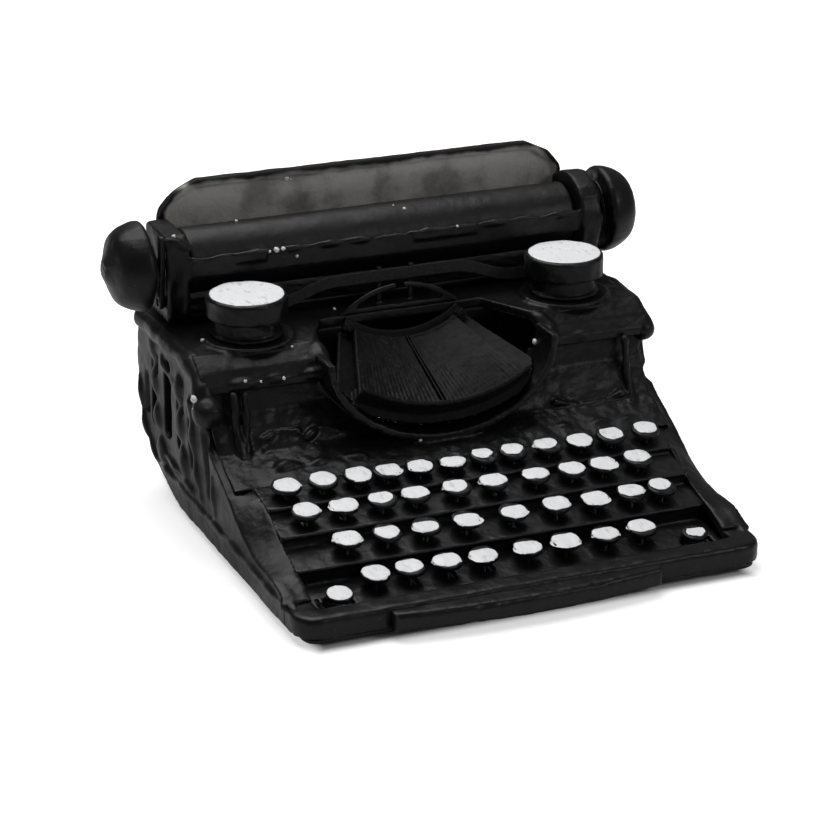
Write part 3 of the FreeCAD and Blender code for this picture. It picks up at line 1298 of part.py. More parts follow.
def make_platen():
    """The platen on its shaft, with a domed knob at each end."""
    y, z = size("platen_y"), size("platen_z")
    half, end = size("platen_half_length"), size("knob_start")
    roller = rod(size("platen_radius"), Vector(-half, y, z), Vector(half, y, z))
    roller = roller.fuse(rod(size("platen_shaft"), Vector(-end, y, z), Vector(end, y, z)))
    start, stop = size("knob_start"), size("knob_end")
    radius, hub = size("knob_radius"), size("knob_hub")
    shoulder = start + size("knob_hub_length")
    section = Part.makePolygon([
        Vector(start, 0, 0), Vector(start, hub, 0), Vector(shoulder, hub, 0),
        Vector(shoulder, radius, 0), Vector(stop - size("knob_slope"), radius, 0),
        Vector(stop, size("knob_face"), 0),
        Vector(stop, 0, 0), Vector(start, 0, 0)])
    knob = Part.Face(section).revolve(Vector(), Vector(1, 0, 0), 360)
    rims = [edge for edge in knob.Edges if edge.Closed and edge.BoundBox.YLength > 1.9 * radius]
    knob = knob.makeFillet(0.4 * size("knob_round"), rims)
    knob.translate(Vector(0, y, z))
    other = knob.mirror(Vector(), Vector(1, 0, 0))
    feature("platen", Part.makeCompound([roller.removeSplitter().Solids[0], knob.Solids[0], other.Solids[0]]))


def table_outline(inset):
    """The paper table's outline, drawn in by a rim's width."""
    wide, top_wide = size("table_half_width") - inset, size("table_top_half_width") - inset
    low, shoulder, top = size("table_bottom") + inset, size("table_shoulder"), size("table_top") - inset
    return [(-wide, low), (wide, low), (wide, shoulder), (top_wide, top), (-top_wide, top), (-wide, shoulder)]


def make_paper_table():
    """The plate behind the platen that the paper leans on, with a raised rim."""
    y = size("carriage_back")
    plate = prism([(x, y, z) for x, z in table_outline(0.0)], Vector(), Vector(0, size("table_thickness"), 0))
    proud = size("table_rim_height")
    rim = prism([(x, y - proud, z) for x, z in table_outline(0.0)], Vector(), Vector(0, proud, 0))
    hollow = prism([(x, y - proud, z) for x, z in table_outline(size("table_rim"))], Vector(),
                   Vector(0, proud, 0))
    rim = rim.cut(hollow)
    for side in (-1, 1):
        ends = sorted((side * (size("end_plate_inner") - size("clearance")), side * FAR))
        rim = rim.cut(block((ends[0], 0, 0), (ends[1], y, size("end_plate_top") + size("clearance"))))
    feature("paper_table", plate.fuse(rim).removeSplitter().Solids[0])


def line_lever_face():
    """X of the line space lever's face beside the left end plate."""
    return -size("end_plate_inner") - size("end_plate") - size("line_lever_gap")


def make_line_lever():
    """The line space lever on the left end of the carriage."""
    thick, wide = size("line_lever_thickness"), size("line_lever_width") / 2
    x = line_lever_face()
    y, z, reach = size("line_lever_y"), size("line_lever_z"), size("line_lever_reach")
    pin_a, pin_b = Vector(x, y, z), Vector(x - thick, y, z)
    lever = rod(wide, pin_a, pin_b)
    tip_y, tip = y - size("line_lever_tip_y"), size("line_lever_tip_radius")
    lever = lever.fuse(along_x([(y - wide, z), (y + wide, z), (tip_y + tip, z + reach),
                                (tip_y - tip, z + reach)], x - thick, x))
    lever = lever.fuse(rod(tip, Vector(x, tip_y, z + reach), Vector(x - thick, tip_y, z + reach)))
    bore = size("line_pin_radius") + size("running_fit")
    lever = lever.cut(rod(bore, pin_a + Vector(1, 0, 0), pin_b - Vector(1, 0, 0)))
    feature("line_space_lever", lever.removeSplitter().Solids[0])


# ---------------------------------------------------------------- build and write


def check_document():
    """Stop if any object failed to build or any sub-part has no valid shape."""
    for item in DOC.Objects:
        if "Invalid" in item.State or "Error" in item.State:
            raise RuntimeError(f"{item.Name} ({item.Label}) failed: {item.State}")
    for item in NODES:
        if item.Shape.isNull() or not item.Shape.isValid():
            raise RuntimeError(f"{item.Label} has no valid shape")


def write_parts():
    """Write each sub-part to its own file."""
    os.makedirs("parts", exist_ok=True)
    for item in NODES:
        item.Shape.exportStep(f"parts/{item.Label}.step")


def build():
    """Make every sub-part."""
    make_base_frame()
    make_feet()
    make_front_rail()
    make_side_frames()
    make_rear_panel()
    make_top_deck()
    make_front_panel()
    make_keyboard_tray()
    for key in character_keys():
        make_key(key)
    make_shift_keys()
    make_space_bar()
    make_lever_shaft()
    make_typebars()
    make_segment()
    make_spool("ribbon_spool_left", -1)
    make_spool("ribbon_spool_right", 1)
    make_ribbon()
    make_carriage()
    make_platen()
    make_paper_table()
    make_line_lever()
    DOC.recompute()


build()
check_document()
write_parts()
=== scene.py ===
"""Full-size desk typewriter, dressed as a thickly painted black casting with hand-painted tops."""

import logging
import math
from collections.abc import Callable
from dataclasses import dataclass, replace
from enum import Enum, StrEnum
from functools import cache

import bmesh
import bpy
from mathutils import Matrix, Vector


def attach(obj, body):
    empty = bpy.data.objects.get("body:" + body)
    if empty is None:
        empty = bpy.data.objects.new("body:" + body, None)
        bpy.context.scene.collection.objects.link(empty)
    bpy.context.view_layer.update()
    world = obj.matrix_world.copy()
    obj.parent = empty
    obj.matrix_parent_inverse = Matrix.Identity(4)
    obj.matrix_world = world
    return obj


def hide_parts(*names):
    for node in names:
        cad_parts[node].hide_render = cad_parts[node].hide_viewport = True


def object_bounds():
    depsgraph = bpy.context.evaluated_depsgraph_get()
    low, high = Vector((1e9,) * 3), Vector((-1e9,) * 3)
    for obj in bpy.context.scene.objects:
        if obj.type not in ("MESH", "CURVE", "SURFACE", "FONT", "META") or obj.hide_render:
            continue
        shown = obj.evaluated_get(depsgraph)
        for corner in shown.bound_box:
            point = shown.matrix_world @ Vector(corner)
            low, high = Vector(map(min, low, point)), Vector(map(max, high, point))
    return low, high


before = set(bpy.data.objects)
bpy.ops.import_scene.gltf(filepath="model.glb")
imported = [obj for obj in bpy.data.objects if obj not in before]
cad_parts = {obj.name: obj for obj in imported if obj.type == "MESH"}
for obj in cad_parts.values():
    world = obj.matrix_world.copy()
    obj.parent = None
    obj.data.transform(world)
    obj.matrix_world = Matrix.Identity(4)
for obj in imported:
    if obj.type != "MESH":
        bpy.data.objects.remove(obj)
CAD_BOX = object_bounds()
LOG = logging.getLogger("typewriter")
MM = 0.001

Piece = bpy.types.Object
Socket = bpy.types.NodeSocket
NodeTree = bpy.types.NodeTree
Point = tuple[float, float, float]
Colour = tuple[float, float, float, float]
Test = Callable[[Vector, Vector], bool]
Mesh = bmesh.types.BMesh


class Body(StrEnum):
    """Bodies of the machine that more than one piece rides on."""

    FRAME = "frame"
    CARRIAGE = "carriage"
    PLATEN = "platen"


class Slot(StrEnum):
    """Material slots of the record."""

    ENAMEL = "black_enamel"
    GREY_ENAMEL = "grey_black_enamel"
    STEEL = "blackened_steel"
    WHITE = "white_top"
    RUBBER = "platen_rubber"
    CLOTH = "ribbon_cloth"
    FOOT = "foot_rubber"


# ---- node trees


class Tree:
    """A thin wrapper that makes and wires nodes in one node tree."""

    def __init__(self, tree: NodeTree) -> None:
        """Keep the tree that the nodes go into."""
        self.tree = tree

    def fill(self, inputs: bpy.types.NodeInputs, values: dict[str | int, object]) -> None:
        """Wire outputs into sockets, or write constants on them.

        Args:
            inputs: the sockets.
            values: an output or a constant for each socket, by name or number.
        """
        for name, value in values.items():
            if isinstance(value, Socket):
                self.tree.links.new(value, inputs[name])
            else:
                inputs[name].default_value = value

    def node(self, kind: str, inputs: dict[str | int, object] | None = None,
             **settings: object) -> bpy.types.Node:
        """Add a node, set its properties and fill its sockets.

        Args:
            kind: node type name.
            inputs: an output or a constant for each socket, by name or number.
            settings: properties by name.

        Returns:
            The new node.
        """
        made = self.tree.nodes.new(kind)
        for name, value in settings.items():
            setattr(made, name, value)
        self.fill(made.inputs, inputs or {})
        return made

    def math(self, operation: str, *values: object) -> Socket:
        """A number worked out from others, by a Math node's operation."""
        return self.node("ShaderNodeMath", dict(enumerate(values)), operation=operation).outputs[0]

    def plus(self, first: object, second: object) -> Socket:
        """The sum of two numbers."""
        return self.math("ADD", first, second)

    def times(self, first: object, second: object) -> Socket:
        """The product of two numbers."""
        return self.math("MULTIPLY", first, second)

    def swing(self, noise: Socket, reach: object) -> Socket:
        """Noise about 0.5 made to swing about 0, by half its reach either way."""
        return self.times(self.math("SUBTRACT", noise, 0.5), reach)

    def vector(self, operation: str, *values: object) -> Socket:
        """A vector worked out from others, by a Vector Math node's operation; SCALE takes a number."""
        slots = (0, 3) if operation == "SCALE" else (0, 1)
        return self.node("ShaderNodeVectorMath", dict(zip(slots, values)), operation=operation).outputs[0]

    def split(self, place: Socket) -> list[Socket]:
        """The X, Y and Z of a place."""
        return list(self.node("ShaderNodeSeparateXYZ", {0: place}).outputs)

    def join(self, *values: object) -> Socket:
        """A place from its X, Y and Z."""
        return self.node("ShaderNodeCombineXYZ", dict(enumerate(values))).outputs[0]

    def span(self, *values: object) -> Socket:
        """A number mapped smoothly: it, the ends of its span, and the results there unless 0 and 1."""
        made = self.node("ShaderNodeMapRange", dict(enumerate(values)), interpolation_type="SMOOTHSTEP")
        return made.outputs[0]

    def noise(self, place: object, scale: object, detail: float = 2.0) -> Socket:
        """Soft noise about 0.5 over a place, by its frequency and number of octaves."""
        made = self.node("ShaderNodeTexNoise", {"Vector": place, "Scale": scale, "Detail": detail})
        return made.outputs["Fac"]

    def blend(self, share: object, first: object, second: object) -> Socket:
        """Mix two colours, by how much there is of the second."""
        return self.node("ShaderNodeMix", {0: share, 6: first, 7: second}, data_type="RGBA").outputs[2]

    def bump(self, height: Socket, distance: float) -> Socket:
        """The normal of a surface that rises with a height, by a distance in metres."""
        return self.node("ShaderNodeBump", {"Height": height, "Distance": distance}).outputs[0]

    def place(self) -> Socket:
        """The piece's own coordinates, in metres."""
        return self.node("ShaderNodeTexCoord").outputs["Object"]

    def use(self, group: NodeTree, **inputs: object) -> Socket:
        """The output of a shader group, fed by socket name with underscores for spaces."""
        named = {name.replace("_", " "): value for name, value in inputs.items()}
        return self.node("ShaderNodeGroup", named, node_tree=group).outputs[0]


class Group(Tree):
    """A node group in the making, with named inputs and one output."""

    def __init__(self, name: str, output: str, **inputs: object) -> None:
        """Start the group.

        Args:
            name: the group's name.
            output: its output: Geometry for a geometry tree, or else a number of a shader tree.
            inputs: defaults, or socket types, by socket name with underscores for spaces.
        """
        kind = "GeometryNodeTree" if output == "Geometry" else "ShaderNodeTree"
        super().__init__(bpy.data.node_groups.new(name, kind))
        types = {float: "NodeSocketFloat", int: "NodeSocketInt"}
        sockets = self.tree.interface
        for label, value in inputs.items():
            made = sockets.new_socket(label.replace("_", " "), socket_type=types.get(type(value), value))
            if type(value) in types:
                made.default_value = value
        result = SHAPE if output == "Geometry" else types[float]
        sockets.new_socket(output, in_out="OUTPUT", socket_type=result)
        self.given = self.node("NodeGroupInput").outputs
        self.result = self.node("NodeGroupOutput").inputs

    def end(self, result: Socket) -> NodeTree:
        """Wire the result, and hand over the finished group."""
        self.fill(self.result, {0: result})
        return self.tree

    def end_in(self, shape: Socket, paint: str = "Paint") -> NodeTree:
        """End a geometry tree in real geometry of one material, from the input of that name."""
        real = self.node("GeometryNodeRealizeInstances", {0: shape}).outputs[0]
        return self.end(self.node("GeometryNodeSetMaterial", {
            "Geometry": real, "Material": self.given[paint]}).outputs[0])


SHAPE, VECTOR, MATERIAL = "NodeSocketGeometry", "NodeSocketVector", "NodeSocketMaterial"


@cache
def paint_surface() -> NodeTree:
    """Height of thick paint over a rough casting: broad lumps, brush-scale unevenness, fine grain.

    Returns:
        The group, with inputs Place, Lump Scale, Grain Scale, Grain and output Height.
    """
    group = Group("Paint Surface", "Height", Place=VECTOR, Lump_Scale=60.0, Grain_Scale=900.0, Grain=0.15)
    place, lump_scale, grain_scale, grain = list(group.given)[:4]
    lumps = group.noise(place, lump_scale, 3.0)
    middle = group.noise(place, group.times(lump_scale, 4.0))
    fine = group.times(group.noise(place, grain_scale, 3.0), grain)
    return group.end(group.plus(group.plus(lumps, group.times(middle, 0.35)), fine))


@cache
def edge_wear() -> NodeTree:
    """Mask of raised edges where the paint is thin, broken up by noise.

    Returns:
        The group, with inputs Place, Scale, Start and output Mask.
    """
    group = Group("Edge Wear", "Mask", Place=VECTOR, Scale=90.0, Start=0.52)
    place, scale, start = list(group.given)[:3]
    raised = group.node("ShaderNodeNewGeometry").outputs["Pointiness"]
    lifted = group.plus(raised, group.swing(group.noise(place, scale), 0.06))
    return group.end(group.span(lifted, start, group.plus(start, 0.05)))


@cache
def dust_specks() -> NodeTree:
    """Mask of sparse pale specks of dust.

    Returns:
        The group, with inputs Place, Scale, Share and output Mask.
    """
    group = Group("Dust", "Mask", Place=VECTOR, Scale=500.0, Share=0.06)
    place, scale, share = list(group.given)[:3]
    cells = group.node("ShaderNodeTexVoronoi", {"Vector": place, "Scale": scale})
    chosen = group.node("ShaderNodeSeparateColor", {0: cells.outputs["Color"]})
    lit = group.math("LESS_THAN", chosen.outputs[0], share)
    return group.end(group.times(group.span(cells.outputs["Distance"], 0.16, 0.05), lit))


# ---- finishes


def principled(name: str) -> tuple[bpy.types.Material, Tree, bpy.types.NodeInputs]:
    """A new material with its Principled shader.

    Args:
        name: the material's name.

    Returns:
        The material, its Tree and the shader's sockets.
    """
    material = bpy.data.materials.new(name)
    material.use_nodes = True
    return material, Tree(material.node_tree), material.node_tree.nodes["Principled BSDF"].inputs


@dataclass(frozen=True)
class Finish:
    """A finish: its material's name, and the record's slot that it fills."""

    name: str
    slot: Slot = Slot.ENAMEL

    def layers(self, tree: Tree) -> dict[str, object]:
        """What goes into the Principled shader, by socket name; each kind of finish has its own."""
        raise NotImplementedError

    @cache
    def material(self) -> bpy.types.Material:
        """The material, built the first time it is asked for.

        Returns:
            The material.
        """
        material, tree, shader = principled(self.name)
        tree.fill(shader, self.layers(tree))
        return material


@dataclass(frozen=True)
class Enamel(Finish):
    """Satin enamel over a rough casting, greyer where an edge is worn."""

    colour: Colour = (0.0045, 0.0045, 0.0048, 1.0)
    worn: Colour = (0.035, 0.035, 0.036, 1.0)
    speck: Colour = (0.3, 0.3, 0.3, 1.0)
    roughness: tuple[float, float] = (0.3, 0.46)
    lump_scale: float = 110.0
    bump: float = 0.00022
    grain: float = 0.2
    dust: float = 0.035
    wear: float = 0.5
    specular: float = 0.22

    def tint(self, tree: Tree, place: Socket, base: Socket) -> Socket:
        """The colour before dust settles on it; plain enamel keeps its own."""
        return base

    def layers(self, tree: Tree) -> dict[str, object]:
        """Worn and dusty colour, patchy gloss and a lumpy surface.

        Args:
            tree: the material's tree.

        Returns:
            What goes into the shader, by socket name.
        """
        place = tree.place()
        wear = tree.use(edge_wear(), Place=place)
        dust = tree.use(dust_specks(), Place=place, Share=self.dust)
        base = tree.blend(tree.times(wear, self.wear), self.colour, self.worn)
        base = tree.blend(tree.times(dust, 0.35), self.tint(tree, place, base), self.speck)
        height = tree.use(paint_surface(), Place=place, Lump_Scale=self.lump_scale, Grain=self.grain)
        return {"Base Color": base, "Normal": tree.bump(height, self.bump),
                "Roughness": tree.span(tree.noise(place, 35.0, 3.0), 0.3, 0.7, *self.roughness),
                "Specular IOR Level": self.specular}


@dataclass(frozen=True)
class TableEnamel(Enamel):
    """Enamel of the paper table: its front face is rough and grey inside a black rim, the grey partly dust
    and partly a painted sheen.
    """

    # grey of the front face: partly dust, partly painted sheen where the face catches the light
    inner: Colour = (0.46, 0.45, 0.43, 1.0)
    blotch: Colour = (0.22, 0.215, 0.205, 1.0)
    rim_side: float = 0.117
    rim_top: float = 0.1695
    slant: tuple[float, float] = (0.78, 0.62)
    rim_corner: float = 0.1885
    rim_fade: float = 0.003
    back: float = 0.1234

    def tint(self, tree: Tree, place: Socket, base: Socket) -> Socket:
        """Grey inside the rim, on the front face only: partly dust and partly painted sheen, where that face
        catches the light.

        Args:
            tree: the material's tree.
            place: the piece's own coordinates.
            base: the black of the rim and the back.

        Returns:
            The colour.
        """
        side, behind, up = tree.split(place)
        across = tree.math("ABSOLUTE", side)
        wander = tree.swing(tree.noise(place, 60.0), 0.006)
        corner = tree.plus(tree.times(across, self.slant[0]), tree.times(up, self.slant[1]))
        rim = tree.span(behind, self.back, self.back + 0.0005)
        for measure, start in ((across, self.rim_side), (up, self.rim_top), (corner, self.rim_corner)):
            edge = tree.span(tree.plus(measure, wander), start, start + self.rim_fade)
            rim = tree.math("MAXIMUM", rim, edge)
        # painted sheen: the front face inside the rim is painted grey, mottled like dust
        grey = tree.blend(tree.span(tree.noise(place, 45.0, 4.0), 0.42, 0.66), self.inner, self.blotch)
        return tree.blend(rim, grey, base)


@dataclass(frozen=True)
class WhitePaint(Finish):
    """White paint laid on with a small brush: streaks, and grey where it is thin."""

    colour: Colour = (0.86, 0.87, 0.88, 1.0)
    thin: Colour = (0.42, 0.46, 0.5, 1.0)
    thinness: float = 0.5

    def layers(self, tree: Tree) -> dict[str, object]:
        """Streaks of thick and thin paint.

        Args:
            tree: the material's tree.

        Returns:
            What goes into the shader, by socket name.
        """
        place = tree.place()
        streaks = tree.noise(tree.vector("MULTIPLY", place, (1.0, 0.35, 1.0)), 420.0, 3.0)
        patch = tree.noise(place, 150.0)
        uneven = tree.plus(tree.times(streaks, 0.6), tree.times(patch, 0.4))
        thin = tree.span(uneven, 0.53, 0.68, 0.0, self.thinness)
        return {"Base Color": tree.blend(thin, self.colour, self.thin),
                "Roughness": tree.span(patch, 0.3, 0.7, 0.32, 0.5), "Normal": tree.bump(streaks, 0.0003)}


@dataclass(frozen=True)
class Steel(Finish):
    """Blackened steel with a dull, slightly mottled sheen."""

    colour: Colour = (0.03, 0.03, 0.032, 1.0)
    bright: Colour = (0.09, 0.09, 0.095, 1.0)

    def layers(self, tree: Tree) -> dict[str, object]:
        """Mottled steel, brighter on its edges.

        Args:
            tree: the material's tree.

        Returns:
            What goes into the shader, by socket name.
        """
        place = tree.place()
        wear = tree.use(edge_wear(), Place=place, Scale=250.0)
        mottle = tree.noise(place, 180.0, 4.0)
        return {"Base Color": tree.blend(wear, self.colour, self.bright), "Metallic": 0.6,
                "Roughness": tree.span(mottle, 0.3, 0.7, 0.35, 0.6), "Normal": tree.bump(mottle, 0.0001)}


@dataclass(frozen=True)
class Woven(Finish):
    """Inked cotton ribbon: a fine plain weave."""

    colour: Colour = (0.012, 0.012, 0.014, 1.0)
    lint: Colour = (0.05, 0.05, 0.052, 1.0)
    threads: float = 9000.0

    def layers(self, tree: Tree) -> dict[str, object]:
        """Crossing threads with a little lint.

        Args:
            tree: the material's tree.

        Returns:
            What goes into the shader, by socket name.
        """
        place = tree.place()
        side, _, up = tree.split(place)
        warp, weft = (tree.math("SINE", tree.times(way, self.threads)) for way in (side, up))
        lint = tree.span(tree.noise(place, 700.0), 0.5, 0.75, 0.0, 0.5)
        return {"Base Color": tree.blend(lint, self.colour, self.lint), "Roughness": 0.85,
                "Normal": tree.bump(tree.times(warp, weft), 0.00008)}


class Coat(Enum):
    """Every finish of the machine."""

    ENAMEL = Enamel("Black_Enamel")
    KEY = Enamel("Key_Enamel", lump_scale=220.0, bump=0.00015, dust=0.02)
    PANEL = Enamel("Panel_Enamel", lump_scale=85.0, bump=0.0004)
    BASKET = Enamel("Basket_Enamel", Slot.STEEL, colour=(0.003, 0.003, 0.0032, 1.0), roughness=(0.5, 0.65),
                    wear=0.2, specular=0.12)
    # paper table: its grey front face is partly a painted sheen
    GREY = TableEnamel("Grey_Enamel", Slot.GREY_ENAMEL, roughness=(0.5, 0.7), specular=0.2,
                       lump_scale=160.0, bump=0.0005, grain=0.35)
    RUBBER = Enamel("Platen_Rubber", Slot.RUBBER, colour=(0.004, 0.004, 0.0045, 1.0),
                    roughness=(0.4, 0.52), bump=0.0002, specular=0.3, wear=0.3)
    FOOT = Enamel("Foot_Rubber", Slot.FOOT, roughness=(0.7, 0.85), bump=0.0002)
    WHITE = WhitePaint("White_Top", Slot.WHITE)
    SPOOL_WHITE = WhitePaint("Spool_White", Slot.WHITE, thinness=0.75)
    CHIP = WhitePaint("Pale_Chip", Slot.WHITE, colour=(0.7, 0.7, 0.7, 1.0), thinness=0.3)
    STEEL = Steel("Blackened_Steel", Slot.STEEL)
    CLOTH = Woven("Ribbon_Cloth", Slot.CLOTH)


# ---- mesh helpers


def link(item: bpy.types.ID, name: str) -> Piece:
    """Put a mesh, lamp or camera in the scene as an object at the origin.

    Args:
        item: its data.
        name: the object's name.

    Returns:
        The object.
    """
    made = bpy.data.objects.new(name, item)
    bpy.context.scene.collection.objects.link(made)
    return made


def settle(piece: Piece) -> Piece:
    """Turn an object's modifiers into its own plain mesh.

    Args:
        piece: object with live modifiers.

    Returns:
        The same object, without modifiers.
    """
    graph = bpy.context.evaluated_depsgraph_get()
    graph.update()
    made = bpy.data.meshes.new_from_object(piece.evaluated_get(graph), depsgraph=graph)
    piece.modifiers.clear()
    old, piece.data = piece.data, made
    bpy.data.meshes.remove(old)
    made.name = piece.name
    return piece


def grow(piece: Piece, group: NodeTree, **values: object) -> Piece:
    """Run a geometry tree on a piece, and settle it.

    Args:
        piece: the object.
        group: the tree.
        values: inputs by socket name, with underscores for spaces; they are set by identifier.

    Returns:
        The same object.
    """
    modifier = piece.modifiers.new("grow", "NODES")
    modifier.node_group = group
    sockets = {item.name: item.identifier for item in group.interface.items_tree if item.in_out == "INPUT"}
    for name, value in values.items():
        modifier[sockets[name.replace("_", " ")]] = value
    return settle(piece)


def islands(work: Mesh) -> list[list[bmesh.types.BMVert]]:
    """The separate solids of a mesh.

    Args:
        work: the mesh.

    Returns:
        The vertices of each solid.
    """
    seen: set[int] = set()
    found = []
    work.verts.ensure_lookup_table()
    for vert in work.verts:
        if vert.index in seen:
            continue
        seen.add(vert.index)
        stack, solid = [vert], []
        while stack:
            here = stack.pop()
            solid.append(here)
            for edge in here.link_edges:
                other = edge.other_vert(here)
                if other.index not in seen:
                    seen.add(other.index)
                    stack.append(other)
        found.append(solid)
    return found


def extent(verts: list) -> tuple[Vector, Vector]:
    """Lowest and highest corner of a set of vertices."""
    places = [vert.co for vert in verts]
    return Vector(map(min, zip(*places))), Vector(map(max, zip(*places)))


def solids(node: str, keep: Test | None) -> Mesh:
    """A CAD node's mesh with its loose triangles joined, or only some of its solids.

    Args:
        node: the CAD node.
        keep: test of a solid's lowest and highest corner, or None for all.

    Returns:
        The mesh to work on.
    """
    work = bmesh.new()
    work.from_mesh(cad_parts[node].data)
    bmesh.ops.remove_doubles(work, verts=work.verts, dist=1e-6)
    if keep:
        drop = [v for solid in islands(work) if not keep(*extent(solid)) for v in solid]
        bmesh.ops.delete(work, geom=drop, context="VERTS")
    return work


def new_piece(name: str, work: Mesh) -> Piece:
    """Make a piece of a mesh that was worked on.

    Args:
        name: the piece's name.
        work: the mesh, which is freed.

    Returns:
        The new piece.
    """
    mesh = bpy.data.meshes.new(name)
    work.to_mesh(mesh)
    work.free()
    return link(mesh, name)


def is_long(low: Vector, high: Vector) -> bool:
    """Whether a solid reaches far across the machine."""
    return high.x - low.x > 100 * MM


def is_short(low: Vector, high: Vector) -> bool:
    """Whether a solid stays on one side or in the middle."""
    return not is_long(low, high)


@cache
def cast_lumps() -> NodeTree:
    """Geometry nodes that push a surface in and out by two sizes of noise.

    Returns:
        The tree, with inputs Lump Size, Lump, Ripple Size, Ripple and Paint.
    """
    group = Group("Cast Lumps", "Geometry", Geometry=SHAPE, Lump_Size=0.012, Lump=0.0006,
                  Ripple_Size=0.004, Ripple=0.0002, Paint=MATERIAL)
    given = group.given
    place = group.node("GeometryNodeInputPosition").outputs[0]
    normal = group.node("GeometryNodeInputNormal").outputs[0]
    pushes = []
    for size in ("Lump", "Ripple"):
        noise = group.noise(place, group.math("DIVIDE", 1.0, given[f"{size} Size"]), 1.0)
        pushes.append(group.swing(noise, given[size]))
    push = group.vector("SCALE", normal, group.plus(*pushes))
    moved = group.node("GeometryNodeSetPosition", {"Geometry": given["Geometry"], "Offset": push})
    return group.end_in(moved.outputs[0])


@dataclass(frozen=True)
class Stroke:
    """A rounded ridge (or a groove) along a path: points in millimetres, and its radius."""

    points: tuple[Point, ...]
    radius: float = 2.0
    uneven: float = 0.2
    spacing: float = 0.3

    def beads(self) -> list[tuple[Vector, float]]:
        """Balls that make up the ridge, closely set.

        Returns:
            The middle and the radius of each ball, in metres.
        """
        found = []
        corners = [Vector(point) for point in self.points]
        for start, end in zip(corners, corners[1:]):
            steps = max(1, math.ceil((end - start).length / (self.spacing * self.radius)))
            for step in range(steps + 1):
                place = start.lerp(end, step / steps)
                swell = math.sin(place.x * 0.31 + place.y * 0.23 + place.z * 0.27)
                swell += 0.6 * math.sin(place.x * 0.13 - place.y * 0.17 + 1.0)
                found.append((place * MM, self.radius * (1.0 + self.uneven * swell) * MM))
        return found

    def depth_at(self, place: Vector) -> float:
        """How near a place is to the path.

        Args:
            place: the place, in metres.

        Returns:
            1 on the path, and 0 at its radius or beyond.
        """
        nearest = 1.0
        corners = [Vector(point) * MM for point in self.points]
        for start, end in zip(corners, corners[1:]):
            span = end - start
            share = min(max((place - start).dot(span) / span.length_squared, 0.0), 1.0)
            nearest = min(nearest, (place - start - span * share).length)
        share = max(0.0, 1.0 - nearest / (self.radius * MM))
        return share * share * (3.0 - 2.0 * share)

    def mirrored(self) -> "Stroke":
        """The same ridge on the other side of the machine."""
        return replace(self, points=tuple((-x, y, z) for x, y, z in self.points))


Strokes = tuple[Stroke, ...]


def add_strokes(piece: Piece, strokes: Strokes) -> None:
    """Add ridges to a piece's mesh as closed balls, for its skin to join.

    Args:
        piece: the object.
        strokes: the ridges.
    """
    ball = bmesh.new()
    bmesh.ops.create_icosphere(ball, subdivisions=2, radius=1.0)
    corners = [vert.co.copy() for vert in ball.verts]
    faces = [[vert.index for vert in face.verts] for face in ball.faces]
    ball.free()
    places: list[Vector] = []
    sides: list[list[int]] = []
    for stroke in strokes:
        for place, radius in stroke.beads():
            first = len(places)
            places += [place + corner * radius for corner in corners]
            sides += [[first + index for index in face] for face in faces]
    balls = bpy.data.meshes.new("balls")
    balls.from_pydata(places, [], sides)
    work = bmesh.new()
    work.from_mesh(piece.data)
    work.from_mesh(balls)
    work.to_mesh(piece.data)
    work.free()
    bpy.data.meshes.remove(balls)


@dataclass(frozen=True)
class Casting:
    """How soft a cast piece is: the size of its skin's cells, its smoothing and its lumps."""

    cell: float = 1.0 * MM
    smoothing: int = 6
    lump: float = 1.2 * MM
    lump_size: float = 13.0 * MM
    ripple: float = 0.35 * MM
    ripple_size: float = 4.5 * MM
    room: float = 0.0
    strokes: Strokes = ()
    grooves: Strokes = ()
    groove_depth: float = 3.0 * MM
    widen: float = 0.0

    def soften(self, piece: Piece) -> Piece:
        """Round a piece's edges and roughen it, inside the machine's box.

        Args:
            piece: a closed mesh.

        Returns:
            The same object.
        """
        low, high = extent(piece.data.vertices)
        if self.widen:
            scale = 1.0 + self.widen / high.x
            for vert in piece.data.vertices:
                vert.co.x *= scale
        room = Vector([self.room or self.widen] * 3)
        low = Vector(map(max, low - room, CAD_BOX[0]))
        high = Vector(map(min, high + room, CAD_BOX[1]))
        if self.strokes:
            add_strokes(piece, self.strokes)
        skin = piece.modifiers.new("skin", "REMESH")
        skin.mode, skin.voxel_size, skin.use_smooth_shade = "VOXEL", self.cell, True
        smooth = piece.modifiers.new("smooth", "SMOOTH")
        smooth.factor, smooth.iterations = 0.5, self.smoothing
        grow(piece, cast_lumps(), Lump_Size=self.lump_size, Lump=self.lump, Ripple_Size=self.ripple_size,
             Ripple=self.ripple)
        for groove in self.grooves:
            inwards = Vector((-math.copysign(self.groove_depth, groove.points[0][0]), 0.0, 0.0))
            for vert in piece.data.vertices:
                vert.co += inwards * groove.depth_at(vert.co)
        for vert in piece.data.vertices:
            vert.co = [min(max(value, least), most) for value, least, most in zip(vert.co, low, high)]
        return piece

    def cast(self, name: str, node: str, keep: Test | None = None) -> Piece:
        """A softened copy of a CAD node, or of some of its solids, named as given."""
        return self.soften(new_piece(name, solids(node, keep)))

    def make(self, node: str, coat: Coat, body: str, name: str = "", keep: Test | None = None) -> None:
        """Cast a CAD node, or some of its solids, and finish it as a piece that stands for it."""
        finish_piece(self.cast(name or f"{node}_cast", node, keep), coat, body, node)


def finish_piece(piece: Piece, coat: Coat, body: str, *nodes: str, slot: Slot | None = None) -> None:
    """Dress a piece, let it ride and hide the CAD nodes that it stands for.

    Args:
        piece: the object.
        coat: its finish.
        body: the body that it rides on.
        nodes: CAD nodes that it replaces.
        slot: the record's slot of its finish, where that isn't the coat's own; not used.
    """
    mesh = piece.data
    mesh.materials.clear()
    mesh.materials.append(coat.value.material())
    mesh.polygons.foreach_set("material_index", [0] * len(mesh.polygons))
    mesh.polygons.foreach_set("use_smooth", [True] * len(mesh.polygons))
    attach(piece, str(body))
    if nodes:
        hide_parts(*nodes)
    LOG.info("%s: %d faces on %s", piece.name, len(mesh.polygons), body)


